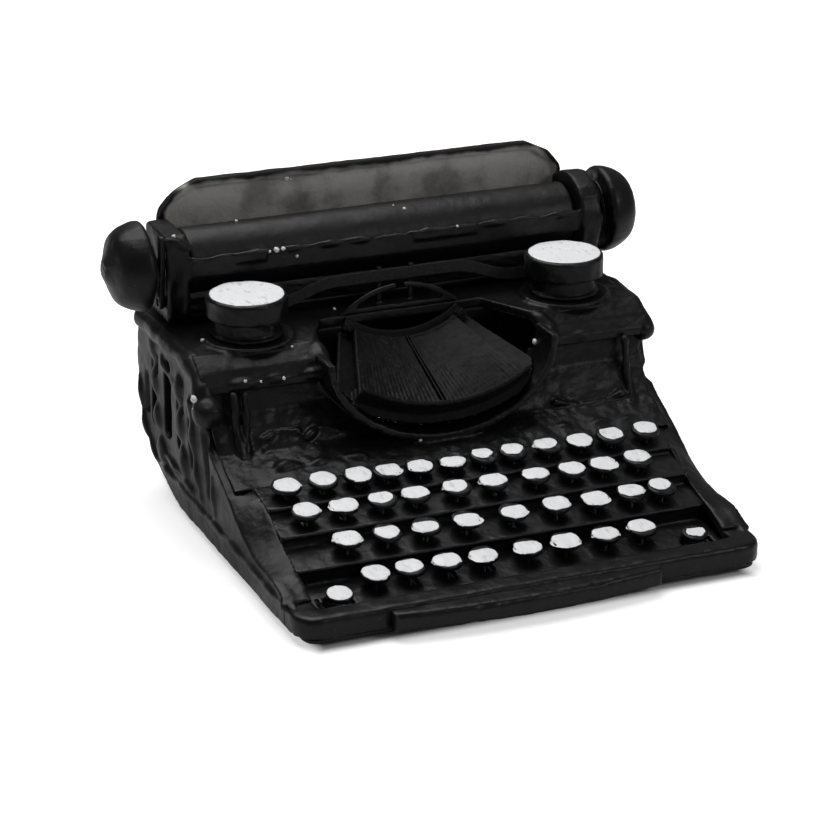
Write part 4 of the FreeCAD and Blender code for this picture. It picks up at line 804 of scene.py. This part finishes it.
def dress_node(node: str, coat: Coat) -> None:
    """Give a CAD node that stays shown its finish.

    Args:
        node: the CAD node.
        coat: its finish.
    """
    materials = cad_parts[node].data.materials
    if not materials:
        materials.append(None)
    for index in range(len(materials)):
        materials[index] = coat.value.material()


# ---- white paint


@cache
def laid_paint() -> NodeTree:
    """Geometry nodes that lay a ragged patch of paint on another piece from above.

    Returns:
        The tree, with inputs Target, Centre, Across, Deep, Cut, Ragged, Lift, Seed and Paint.
    """
    group = Group("Paint Patch", "Geometry", Geometry=SHAPE, Target="NodeSocketObject", Centre=VECTOR,
                  Across=0.007, Deep=0.006, Cut=1.0, Ragged=0.2, Lift=0.0002, Seed=0.0, Paint=MATERIAL)
    given = group.given
    ball = group.node("GeometryNodeMeshUVSphere", {"Segments": 40, "Rings": 18, "Radius": 1.0})
    place = group.node("GeometryNodeInputPosition").outputs[0]
    x, y, z = group.split(place)
    flat = group.vector("MULTIPLY", place, (1.0, 1.0, 0.0))
    reach = group.node("ShaderNodeVectorMath", {0: flat}, operation="LENGTH").outputs["Value"]
    safe = group.math("MAXIMUM", reach, 0.001)
    outline = group.join(group.math("DIVIDE", x, safe), group.math("DIVIDE", y, safe), given["Seed"])
    slow = group.swing(group.noise(outline, 0.9, 1.0), 1.0)
    quick = group.swing(group.noise(outline, 2.6, 2.0), 0.7)
    scale = group.plus(1.0, group.times(group.plus(slow, quick), given["Ragged"]))
    wide = group.times(group.times(x, scale), given["Across"])
    deep = group.times(group.math("MINIMUM", group.times(y, scale), given["Cut"]), given["Deep"])
    spot = group.vector("ADD", group.join(wide, deep, 0.0), given["Centre"])
    above = group.vector("ADD", spot, (0.0, 0.0, 0.02))
    target = group.node("GeometryNodeObjectInfo", {"Object": given["Target"]}, transform_space="RELATIVE")
    cast = group.node("GeometryNodeRaycast", {
        "Target Geometry": target.outputs["Geometry"], "Source Position": above,
        "Ray Direction": (0.0, 0.0, -1.0), "Ray Length": 0.06})
    bulge = group.times(group.math("SIGN", z), group.math("POWER", group.math("ABSOLUTE", z), 0.6))
    rise = group.join(0.0, 0.0, group.times(bulge, given["Lift"]))
    rest = group.node("GeometryNodeSwitch", {
        "Switch": cast.outputs["Is Hit"], "False": group.vector("ADD", above, (0.0, 0.0, -0.0225)),
        "True": cast.outputs["Hit Position"]}, input_type="VECTOR")
    laid = group.node("GeometryNodeSetPosition", {
        "Geometry": ball.outputs["Mesh"], "Position": group.vector("ADD", rest.outputs[0], rise)})
    return group.end_in(laid.outputs[0])


@dataclass(frozen=True)
class PaintPatch:
    """One patch of white paint: its size, its place on the top and how ragged it is."""

    across: float
    deep: float
    aside: float = 0.0
    back: float = 0.0
    cut: float = 0.75
    ragged: float = 0.35
    lift: float = 0.35

    def lay(self, name: str, target: Piece, verts: list, seed: float, coat: Coat, body: str) -> None:
        """Lay the patch on a piece from above, and finish it.

        Args:
            name: the patch's name.
            target: the piece that it lies on.
            verts: that piece's vertices, or those of the half that it lies on.
            seed: picks its outline.
            coat: its finish.
            body: the body that it rides on.
        """
        low, high = extent(verts)
        x, y = (low.x + high.x) / 2 + self.aside * MM, (low.y + high.y) / 2 + self.back * MM
        patch = grow(link(bpy.data.meshes.new(name), name), laid_paint(), Target=target,
                     Centre=[x, y, high.z], Across=self.across * MM, Deep=self.deep * MM, Cut=self.cut,
                     Ragged=self.ragged, Lift=self.lift * MM, Seed=seed, Paint=coat.value.material())
        finish_piece(patch, coat, body)


# Paint on each key top, row by row from the top left: half width and half depth in millimetres,
# then how far it lies to the right of the top's middle and behind it.
TOP_PAINT = (
    (7.5, 7.2, 0.7, -0.2), (7.1, 7.2, 0.3, 0.8), (7.3, 7.7, 0.3, -0.5), (7.5, 6.1, 1.6, -0.9),
    (7.0, 6.2, -0.5, -1.8), (7.1, 5.4, -0.1, -2.6), (5.9, 5.0, -1.2, 0.8), (6.2, 5.5, -0.3, 0.5),
    (6.9, 5.4, -1.5, 0.3), (7.1, 6.8, -0.6, -1.1), (6.8, 6.6, 0.7, 0.3), (6.4, 7.0, 0.5, 1.4),
    (7.7, 7.0, 0.8, 1.0), (8.0, 6.4, -0.8, -0.8), (6.8, 5.4, -0.7, 0.5), (8.0, 6.1, -0.2, 0.2),
    (7.1, 5.8, -1.2, 0.3), (8.1, 6.1, -0.3, 0.1), (7.9, 5.9, 0.2, -0.1), (7.4, 6.3, 0.1, -0.6),
    (8.1, 7.1, 0.9, -1.2), (8.0, 6.6, 0.8, 1.4),
    (8.1, 7.2, 0.4, -0.4), (6.9, 5.9, -0.2, -0.9), (7.4, 5.4, -1.4, -1.7), (8.2, 6.7, 0.8, -2.0),
    (7.7, 6.5, 0.5, -1.7), (8.2, 7.0, 0.6, 0.0), (8.0, 7.1, 0.5, -1.4), (7.9, 6.2, 0.8, 0.7),
    (6.0, 6.0, 0.0, 1.8),
    (7.2, 7.3, -0.1, -0.4), (7.9, 6.1, -0.1, 0.5), (8.1, 6.5, 0.0, 0.0), (8.1, 6.6, -0.5, -1.4),
    (8.1, 6.4, -1.0, -1.0), (8.4, 7.6, -0.4, -1.0), (8.2, 6.1, 0.1, -0.3), (8.1, 6.3, 0.0, 1.2))


# ---- sub-assemblies


SIDE_X = -133.0


def side_stroke(*places: tuple[float, float], radius: float = 2.0, out: float = 0.0) -> Stroke:
    """A ridge on the left side's outer face, by (front to back, height) points in millimetres."""
    return Stroke(tuple((SIDE_X - out, y, z) for y, z in places), radius)


@dataclass
class Shell:
    """The cast frame: base, rail, side frames, deck, panels and keyboard tray."""

    heavy: Casting = Casting(room=1.5 * MM)
    plate: Casting = Casting(cell=0.9 * MM, smoothing=4, lump=0.8 * MM)
    side_room: float = 6.5 * MM
    side_ridges: Strokes = (
        side_stroke((106, 92), (102, 70), (98, 50), (92, 34), (84, 24), radius=7.2, out=-5.0),
        side_stroke((62, 82), (60, 62), (56, 44), (50, 30), radius=7.2, out=-5.0),
        side_stroke((90, 84), (80, 79), (68, 76), radius=3.4, out=-2.0),
        side_stroke((40, 76), (36, 55), (32, 38), (26, 26), radius=3.2, out=-0.6),
        side_stroke((8, 44), (6, 35), (4, 25), radius=2.6, out=-1.0),
        Stroke(((-129.5, -80, 19), (-129.5, -95, 16), (-129, -103, 13)), 3.6, 0.05),
        side_stroke((84, 30), (62, 27), (40, 25), radius=2.2),
        side_stroke((128, 60), (119, 36), (100, 21), (60, 19.5), (0, 19), (-60, 18), (-98, 16), radius=2.4),
        Stroke(((-121, -19, 35), (-120, -12, 40), (-119, -4, 45)), 3.4),
        Stroke(((-131, 124, 96.5), (-131.5, 90, 97), (-131.5, 60, 97.5), (-131, 42, 97), (-131, 33, 93.5),
                (-131.5, 27, 87)), 6.2, 0.08))
    drip: Strokes = (
        Stroke(((-131.5, 27, 87), (-131.5, 21, 78)), 6.6, 0.05),
        Stroke(((-131, 20, 77.5), (-131, 19.5, 77)), 9.0, 0.0))
    slots: Strokes = (
        side_stroke((22, 64), (18, 50), (14, 34), radius=5.5),
        side_stroke((45, 62), (44, 50), (40, 40), radius=3.6),
        side_stroke((117, 64), (115, 46), radius=4.5))
    panel_ridges: Strokes = (
        Stroke(((-116.5, 20, 85), (-116.5, 16, 66), (-116, 7, 52)), 2.2),
        Stroke(((-109.5, 21, 84), (-110.5, 17, 68), (-113, 8, 54)), 2.0),
        Stroke(((-104, -5, 47), (-96, -2, 50), (-84, -4, 48.5), (-66, -1, 49), (-52, -4, 48)), 2.4, 0.45),
        Stroke(((-105, 9.5, 54), (-102, 14, 60), (-92, 16, 62.5), (-82, 15, 61)), 2.0, 0.3),
        Stroke(((-78, 12, 58), (-70, 15.5, 62), (-60, 13, 59)), 1.8, 0.4),
        Stroke(((116.5, 20, 85), (116.5, 16, 66), (116, 7, 52)), 2.2),
        Stroke(((60, -3, 48), (84, -5, 47), (112, -4, 47)), 2.2, 0.4),
        Stroke(((70, 10, 57), (92, 8, 54), (110, 10, 57)), 1.6, 0.4))
    lip_ridges: Strokes = (
        Stroke(((-126, 24, 90), (-110, 23.4, 89), (-92, 23.6, 90), (-68, 23.4, 89.5)), 2.2, 0.35),
        Stroke(((68, 23.4, 89.5), (100, 23.6, 90), (126, 23.6, 89)), 2.0, 0.3),
        Stroke(((-62.5, 24, 90), (-62.5, 37, 97), (-60, 60, 97.5)), 5.5, 0.1),
        Stroke(((70, 34, 99), (74, 28, 95), (71, 24, 90)), 4.5, 0.2))
    step_edges: tuple[tuple[float, float], ...] = ((-75.6, 22.4), (-55.85, 33.2), (-36.6, 41.1))
    step_reach: float = 116.0

    def build(self) -> None:
        """Make every piece of the frame."""
        left = replace(self.heavy, strokes=self.side_ridges + self.drip, grooves=self.slots,
                       room=self.side_room)
        right = replace(left, strokes=tuple(stroke.mirrored() for stroke in self.side_ridges),
                        grooves=tuple(stroke.mirrored() for stroke in self.slots))
        left.make("side_frames", Coat.ENAMEL, Body.FRAME, "side_frame_left",
                  lambda low, high: low.x + high.x < 0)
        right.make("side_frames", Coat.ENAMEL, Body.FRAME, "side_frame_right",
                   lambda low, high: low.x + high.x > 0)
        reach = self.step_reach
        steps = tuple(Stroke(((-reach, y, z), (reach, y, z)), 1.1, 0.12) for y, z in self.step_edges)
        for node, casting, coat in (
                ("base_frame", self.plate, Coat.ENAMEL), ("front_rail", self.heavy, Coat.ENAMEL),
                ("rear_panel", replace(self.plate, widen=1.5 * MM), Coat.ENAMEL),
                ("top_deck", replace(self.heavy, strokes=self.lip_ridges), Coat.ENAMEL),
                ("front_panel", replace(self.plate, lump=1.6 * MM, lump_size=10.0 * MM, ripple=0.6 * MM,
                                        widen=1.8 * MM, strokes=self.panel_ridges), Coat.PANEL),
                ("keyboard_tray", Casting(cell=0.8 * MM, smoothing=2, lump=0.5 * MM, widen=0.8 * MM,
                                          strokes=steps), Coat.ENAMEL)):
            casting.make(node, coat, Body.FRAME)
        dress_node("rubber_feet", Coat.FOOT)


@dataclass
class Keyboard:
    """The thirty-nine character keys, the shift keys and the space bar."""

    cap: Casting = Casting(cell=0.55 * MM, smoothing=5, lump=1.3 * MM, lump_size=7.0 * MM,
                           ripple=0.3 * MM, ripple_size=2.5 * MM)
    bar: Casting = Casting(cell=0.8 * MM, smoothing=5, lump=0.8 * MM)
    cap_depth: float = 30 * MM
    shift_left: PaintPatch = PaintPatch(6.7, 6.5, cut=1.0, ragged=0.1, lift=0.2)
    shift_right: PaintPatch = PaintPatch(5.4, 4.2, ragged=0.9, lift=0.2)

    def is_cap(self, low: Vector, high: Vector) -> bool:
        """Whether a solid is a key top and not a lever."""
        return high.y - low.y < self.cap_depth

    def join_lever(self, node: str, cap: Piece) -> None:
        """Join a node's plain levers to its soft key top, and finish the whole piece.

        Args:
            node: the CAD node.
            cap: the softened key top, which goes into the new piece.
        """
        work = solids(node, lambda low, high: not self.is_cap(low, high))
        work.from_mesh(cap.data)
        bpy.data.objects.remove(cap)
        finish_piece(new_piece(f"{node}_cast", work), Coat.KEY, node, node)

    def build(self) -> None:
        """Make every key, its paint, the shift keys and the space bar."""
        for number, sizes in enumerate(TOP_PAINT, 1):
            node = f"key_{number:02d}"
            cap = self.cap.cast(f"{node}_top", node, self.is_cap)
            PaintPatch(*sizes).lay(f"{node}_paint", cap, cap.data.vertices, number * 1.37, Coat.WHITE, node)
            self.join_lever(node, cap)
        caps = self.cap.cast("shift_tops", "shift_keys", self.is_cap)
        for side, name, patch in ((-1, "left", self.shift_left), (1, "right", self.shift_right)):
            own = [v for v in caps.data.vertices if v.co.x * side > 0]
            patch.lay(f"shift_paint_{name}", caps, own, 72.0 + side, Coat.WHITE, "shift_keys")
        self.join_lever("shift_keys", caps)
        self.bar.make("space_bar", Coat.KEY, "space_bar")


@cache
def typebar_fan() -> NodeTree:
    """Geometry nodes that turn copies of one typebar about the line through the print point.

    Returns:
        The tree, with inputs Count, Half Angle, Centre, Axis, Skip and Metal.
    """
    group = Group("Typebar Fan", "Geometry", Geometry=SHAPE, Count=39, Half_Angle=0.56, Centre=VECTOR,
                  Axis=VECTOR, Skip=19, Metal=MATERIAL)
    given = group.given
    line = group.node("GeometryNodeMeshLine", {
        "Count": given["Count"], "Start Location": given["Centre"], "Offset": (0.0, 0.0, 0.0)})
    index = group.node("GeometryNodeInputIndex").outputs[0]
    share = group.math("DIVIDE", index, group.math("SUBTRACT", given["Count"], 1.0))
    turn = group.times(group.math("SUBTRACT", group.times(share, 2.0), 1.0), given["Half Angle"])
    about = group.node("FunctionNodeAxisAngleToRotation", {"Axis": given["Axis"], "Angle": turn})
    kept = group.node("FunctionNodeCompare", {2: index, 3: given["Skip"]}, data_type="INT",
                      operation="NOT_EQUAL")
    moved = group.node("GeometryNodeTransform", {
        "Geometry": given["Geometry"], "Translation": group.vector("SCALE", given["Centre"], -1.0)})
    copies = group.node("GeometryNodeInstanceOnPoints", {
        "Points": line.outputs["Mesh"], "Selection": kept.outputs[0], "Instance": moved.outputs[0],
        "Rotation": about.outputs[0]})
    return group.end_in(copies.outputs[0], "Metal")


@dataclass
class Basket:
    """The fan of typebars with its segment, the ribbon and the type guide."""

    count: int = 39
    half_angle: float = math.radians(29.5)
    thicken: float = 1.9
    thinned: float = 0.25
    strike: Point = (0.0, 79.0, 146.0)
    pivot: Point = (0.0, 58.0, 88.0)
    segment_lug: Stroke = Stroke(((-54, 6.2, 76), (-50, 6.2, 74.3)), 1.1)
    spool_top: PaintPatch = PaintPatch(20.6, 20.0, cut=1.0, ragged=0.06, lift=0.5)

    def typebars(self) -> None:
        """Make the centre typebar, and from it the fan of those that stay at rest."""
        bar = Casting(cell=0.35 * MM, smoothing=1, lump=0.1 * MM, lump_size=6.0 * MM, ripple=0.0).cast(
            "typebar_centre_cast", "typebar_centre")
        bar.modifiers.new("thin", "DECIMATE").ratio = self.thinned
        settle(bar)
        strike = Vector(self.strike) * MM
        arm = Vector(self.pivot) * MM - strike
        fan = link(bar.data.copy(), "typebars_cast")
        for vert in fan.data.vertices:
            vert.co.x *= self.thicken
        grow(fan, typebar_fan(), Count=self.count, Half_Angle=self.half_angle, Centre=list(strike),
             Axis=list(Vector((0.0, arm.z, -arm.y)).normalized()), Skip=self.count // 2,
             Metal=Coat.KEY.value.material())
        Casting(cell=0.6 * MM, smoothing=2, lump=1.2 * MM, lump_size=9.0 * MM, ripple=0.5 * MM,
                ripple_size=3.0 * MM, room=0.4 * MM).soften(fan)
        finish_piece(fan, Coat.BASKET, Body.FRAME, "typebars")
        finish_piece(bar, Coat.BASKET, "typebar_centre", "typebar_centre")

    def build(self) -> None:
        """Make the typebars, what holds them, the ribbon and its spools."""
        self.typebars()
        segment = Casting(cell=0.7 * MM, smoothing=2, lump=0.4 * MM, strokes=(self.segment_lug,))
        segment.make("type_segment", Coat.BASKET, Body.FRAME)
        strip = Casting(cell=0.4 * MM, smoothing=1, lump=0.0, ripple=0.15 * MM)
        guide = Casting(cell=0.6 * MM, smoothing=4, lump=0.7 * MM)
        strip.make("ribbon", Coat.CLOTH, Body.FRAME, "ribbon_strip", is_long)
        guide.make("ribbon", Coat.ENAMEL, Body.FRAME, "type_guide", is_short)
        dress_node("lever_shaft", Coat.STEEL)
        for side, seed in (("left", 89.0), ("right", 91.0)):
            node = f"ribbon_spool_{side}"
            spool = Casting(cell=0.8 * MM, smoothing=12, lump=2.0 * MM, lump_size=11.0 * MM).cast(
                f"{node}_cast", node)
            self.spool_top.lay(f"{node}_paint", spool, spool.data.vertices, seed, Coat.SPOOL_WHITE, node)
            finish_piece(spool, Coat.ENAMEL, node, node, slot=Slot.WHITE)


@dataclass
class Carriage:
    """The carriage with its platen, paper table and line space lever."""

    hub_end: float = 135.5 * MM
    hub_swell: float = 1.6
    knob_start: float = 139.0 * MM
    knob_end: float = 162.6 * MM
    platen_axis: tuple[float, float] = (103.5 * MM, 134.0 * MM)
    heavy: Casting = Casting(cell=0.9 * MM, smoothing=8)
    plate_edges: Strokes = (
        Stroke(((-129, 85, 110), (-129, 84, 130), (-128.5, 85.5, 150)), 2.2),
        Stroke(((-119.5, 85, 110), (-119.5, 84, 130), (-119.5, 85.5, 148)), 2.0),
        Stroke(((-129, 86, 152), (-124, 84.5, 151), (-118, 84, 148)), 2.4))
    table_cuts: tuple[Point, ...] = (
        (0.42, 0.907, 199.6 * MM), (0.94, 0.34, 168.0 * MM), (0.78, 0.62, 193.0 * MM),
        (0.22, 0.975, 191.6 * MM))
    scale_lip: Strokes = (
        Stroke(((-116, 83, 140.5), (-95, 83, 141), (-70, 83, 140.8), (-12, 83, 141)), 1.7, 0.25),
        Stroke(((12, 83, 141), (60, 83, 140.8), (116, 83, 140.8)), 1.7, 0.25))
    table_rim: Strokes = (
        Stroke(((-120.5, 122, 114), (-120.5, 122, 157), (-118.5, 122, 161.5), (-106, 122, 170),
                (-100, 122, 171.5), (100, 122, 171.5), (106, 122, 170), (118.5, 122, 161.5),
                (120.5, 122, 157), (120.5, 122, 114)), 2.7, 0.1),)

    def dome(self, knobs: Piece) -> None:
        """Draw the knobs in to a dome towards their outer ends, and swell their hubs.

        Args:
            knobs: the piece that holds both.
        """
        axis_y, axis_z = self.platen_axis
        for vert in knobs.data.vertices:
            reach = abs(vert.co.x)
            out = min(max((reach - self.knob_start) / (self.knob_end - self.knob_start), 0.0), 1.0)
            share = self.hub_swell if reach < self.hub_end else math.sqrt(1.0 - out ** 2)
            vert.co.y = axis_y + (vert.co.y - axis_y) * share
            vert.co.z = axis_z + (vert.co.z - axis_z) * share

    def round_table(self, table: Piece) -> None:
        """Round off the four blunt corners at the upper edge of the paper table.

        Args:
            table: the paper table.
        """
        for vert in table.data.vertices:
            for across, up, limit in self.table_cuts:
                over = abs(vert.co.x) * across + vert.co.z * up - limit
                if over > 0.0:
                    vert.co.x -= math.copysign(over * across, vert.co.x)
                    vert.co.z -= over * up

    def build(self) -> None:
        """Make every piece of the carriage."""
        body = replace(self.heavy, strokes=self.plate_edges + self.scale_lip)
        body.make("carriage_frame", Coat.ENAMEL, Body.CARRIAGE)
        table = Casting(cell=0.8 * MM, smoothing=12, lump=1.0 * MM, lump_size=18 * MM, room=1.6 * MM,
                        strokes=self.table_rim).cast("paper_table_cast", "paper_table")
        self.round_table(table)
        finish_piece(table, Coat.GREY, Body.CARRIAGE, "paper_table")
        roller = replace(self.heavy, lump=0.6 * MM, ripple=0.2 * MM)
        roller.make("platen", Coat.RUBBER, Body.PLATEN, "platen_roller", is_long)
        knobs = Casting(cell=0.9 * MM, smoothing=10, lump=1.4 * MM).cast("platen_knobs", "platen", is_short)
        self.dome(knobs)
        finish_piece(knobs, Coat.ENAMEL, Body.PLATEN, "platen")
        lever = Casting(cell=0.5 * MM, smoothing=4, lump=0.4 * MM)
        lever.make("line_space_lever", Coat.ENAMEL, "line_space_lever")


# ---- wear


@cache
def chip_flecks() -> NodeTree:
    """Geometry nodes that put a small uneven chip on every point of a mesh.

    Returns:
        The tree, with inputs Size, Seed and Paint; the points carry the attribute chip_size.
    """
    group = Group("Chips", "Geometry", Geometry=SHAPE, Size=0.0012, Seed=4, Paint=MATERIAL)
    given = group.given
    ball = group.node("GeometryNodeMeshIcoSphere", {"Radius": 1.0, "Subdivisions": 2})
    place = group.node("GeometryNodeInputPosition").outputs[0]
    swell = group.plus(0.45, group.noise(place, 1.1, 1.0))
    uneven = group.node("GeometryNodeSetPosition", {
        "Geometry": ball.outputs["Mesh"], "Position": group.vector("SCALE", place, swell)})
    turned = group.node("FunctionNodeRandomValue", data_type="FLOAT_VECTOR")
    group.fill(turned.inputs, {"Max": (6.28, 6.28, 6.28), "Seed": given["Seed"]})
    own = group.node("GeometryNodeInputNamedAttribute", {"Name": "chip_size"}, data_type="FLOAT")
    copies = group.node("GeometryNodeInstanceOnPoints", {
        "Points": given["Geometry"], "Instance": uneven.outputs[0], "Rotation": turned.outputs[0],
        "Scale": group.times(own.outputs[0], given["Size"])})
    return group.end_in(copies.outputs[0])


@dataclass(frozen=True)
class Chips:
    """Pale chips in one piece's enamel: about where, and how big, in millimetres."""

    piece: str
    body: Body
    spots: tuple[tuple[float, float, float, float], ...]

    def build(self) -> None:
        """Make the chips as one piece, each on the nearest spot of what they are on."""
        under = bpy.data.objects[self.piece]
        name = f"{self.piece}_chips"
        mesh = bpy.data.meshes.new(name)
        places = [under.closest_point_on_mesh(Vector(spot[:3]) * MM)[1] for spot in self.spots]
        mesh.from_pydata(places, [], [])
        sizes = mesh.attributes.new("chip_size", "FLOAT", "POINT")
        sizes.data.foreach_set("value", [spot[3] for spot in self.spots])
        chips = grow(link(mesh, name), chip_flecks(), Size=MM, Seed=4, Paint=Coat.CHIP.value.material())
        finish_piece(chips, Coat.CHIP, self.body)


CHIPS = (
    Chips("side_frame_left", Body.FRAME, ((-138, 23, 85, 2.3), (-138, 21, 80, 0.5))),
    Chips("front_panel_cast", Body.FRAME, ((62, 23, 90, 1.9), (-17, -2, 52, 1.1))),
    Chips("top_deck_cast", Body.FRAME, (
        (-35, 79, 104, 1.1), (-77, 34, 104, 0.8), (-120, 56, 104, 1.2), (-109, 22, 91, 1.0),
        (-100, 22, 90, 0.8), (-87, 22, 90, 1.1))),
    Chips("paper_table_cast", Body.CARRIAGE, ((-47, 121, 168, 1.6), (-44, 121, 167, 0.7))),
    Chips("carriage_frame_cast", Body.CARRIAGE, (
        (-68, 81, 142, 1.7), (-64, 81, 142, 1.3), (-72, 81, 141, 0.9), (-56, 81, 136, 1.0),
        (-125, 88, 155, 1.3), (40, 81, 142, 0.8))),
    Chips("platen_roller", Body.PLATEN, ((-83, 105, 153, 1.0), (14, 96, 151, 1.0), (9, 100, 153, 0.6))))


# ---- studio


@dataclass
class Studio:
    """Plain pale floor, soft lamps and the camera."""

    eye: Point = (-0.61818, -1.37952, 0.67168)
    right: Point = (0.91839, -0.39553, 0.01107)
    up: Point = (0.13877, 0.34814, 0.92712)
    lens: float = 128.57
    floor_half: float = 6.0
    under: tuple[float, float] = (0.118, 0.128)
    glow: float = 0.55
    ambient: float = 0.14
    aim: Point = (0.0, 0.0, 0.05)

    def build(self) -> None:
        """Make the floor, lamps, world and camera."""
        self.floor()
        self.lamp("Overhead", (-0.1, 0.45, 1.3), 1.2, 17.0)
        self.lamp("Front_Right", (0.9, -1.1, 0.9), 0.6, 4.0)
        self.lamp("Left", (-1.3, 0.1, 0.7), 0.5, 0.2)
        self.world()
        self.camera()

    def floor(self) -> None:
        """A white sheet that keeps the soft shadow and glows to the camera beside the machine."""
        mesh = bpy.data.meshes.new("floor")
        half = self.floor_half
        mesh.from_pydata([(-half, -half, 0), (half, -half, 0), (half, half, 0), (-half, half, 0)], [],
                         [(0, 1, 2, 3)])
        floor = link(mesh, "floor")
        material, tree, shader = principled("Floor_White")
        tree.fill(shader, {"Base Color": (0.9, 0.9, 0.9, 1.0), "Roughness": 1.0, "Specular IOR Level": 0.0})
        side, behind, _ = tree.split(tree.place())
        beside, beyond = (tree.span(tree.math("ABSOLUTE", way), *self.under) for way in (side, behind))
        seen = tree.node("ShaderNodeLightPath").outputs["Is Camera Ray"]
        shine = tree.times(tree.times(tree.math("MAXIMUM", beside, beyond), self.glow), seen)
        glow = tree.node("ShaderNodeEmission", {"Strength": shine})
        nodes = material.node_tree.nodes
        both = tree.node("ShaderNodeAddShader", {0: nodes["Principled BSDF"].outputs[0], 1: glow.outputs[0]})
        tree.fill(nodes["Material Output"].inputs, {"Surface": both.outputs[0]})
        mesh.materials.append(material)

    def lamp(self, name: str, place: Point, side: float, power: float) -> None:
        """A square soft light that points at the machine.

        Args:
            name: its name.
            place: where it hangs.
            side: its width.
            power: its power in watts.
        """
        light = bpy.data.lights.new(name, "AREA")
        light.shape, light.size, light.energy = "SQUARE", side, power
        lamp = link(light, name)
        lamp.location = place
        lamp.rotation_euler = (Vector(self.aim) - Vector(place)).to_track_quat("-Z", "Y").to_euler()

    def world(self) -> None:
        """Dim surroundings that look white to the camera."""
        world = bpy.data.worlds.new("Surroundings")
        world.use_nodes = True
        bpy.context.scene.world = world
        tree = Tree(world.node_tree)
        seen = tree.node("ShaderNodeLightPath").outputs["Is Camera Ray"]
        tree.fill(world.node_tree.nodes["Background"].inputs, {
            "Color": (1.0, 1.0, 1.0, 1.0),
            "Strength": tree.plus(self.ambient, tree.times(seen, 1.0 - self.ambient))})

    def camera(self) -> None:
        """The camera at the chosen view."""
        data = bpy.data.cameras.new("Camera")
        data.lens, data.sensor_width, data.clip_end = self.lens, 36.0, 50.0
        camera = link(data, "Camera")
        right, up = Vector(self.right).normalized(), Vector(self.up).normalized()
        turn = Matrix((right, up, right.cross(up))).transposed().to_4x4()
        camera.matrix_world = Matrix.Translation(self.eye) @ turn
        bpy.context.scene.camera = camera


def main() -> None:
    """Build the machine and its studio in order."""
    logging.basicConfig(level=logging.INFO, format="%(message)s")
    bpy.context.scene.view_settings.view_transform = "Standard"
    for part in (Shell(), Keyboard(), Basket(), Carriage(), *CHIPS, Studio()):
        LOG.info("building %s", type(part).__name__)
        part.build()


if __name__ == "__main__":
    main()
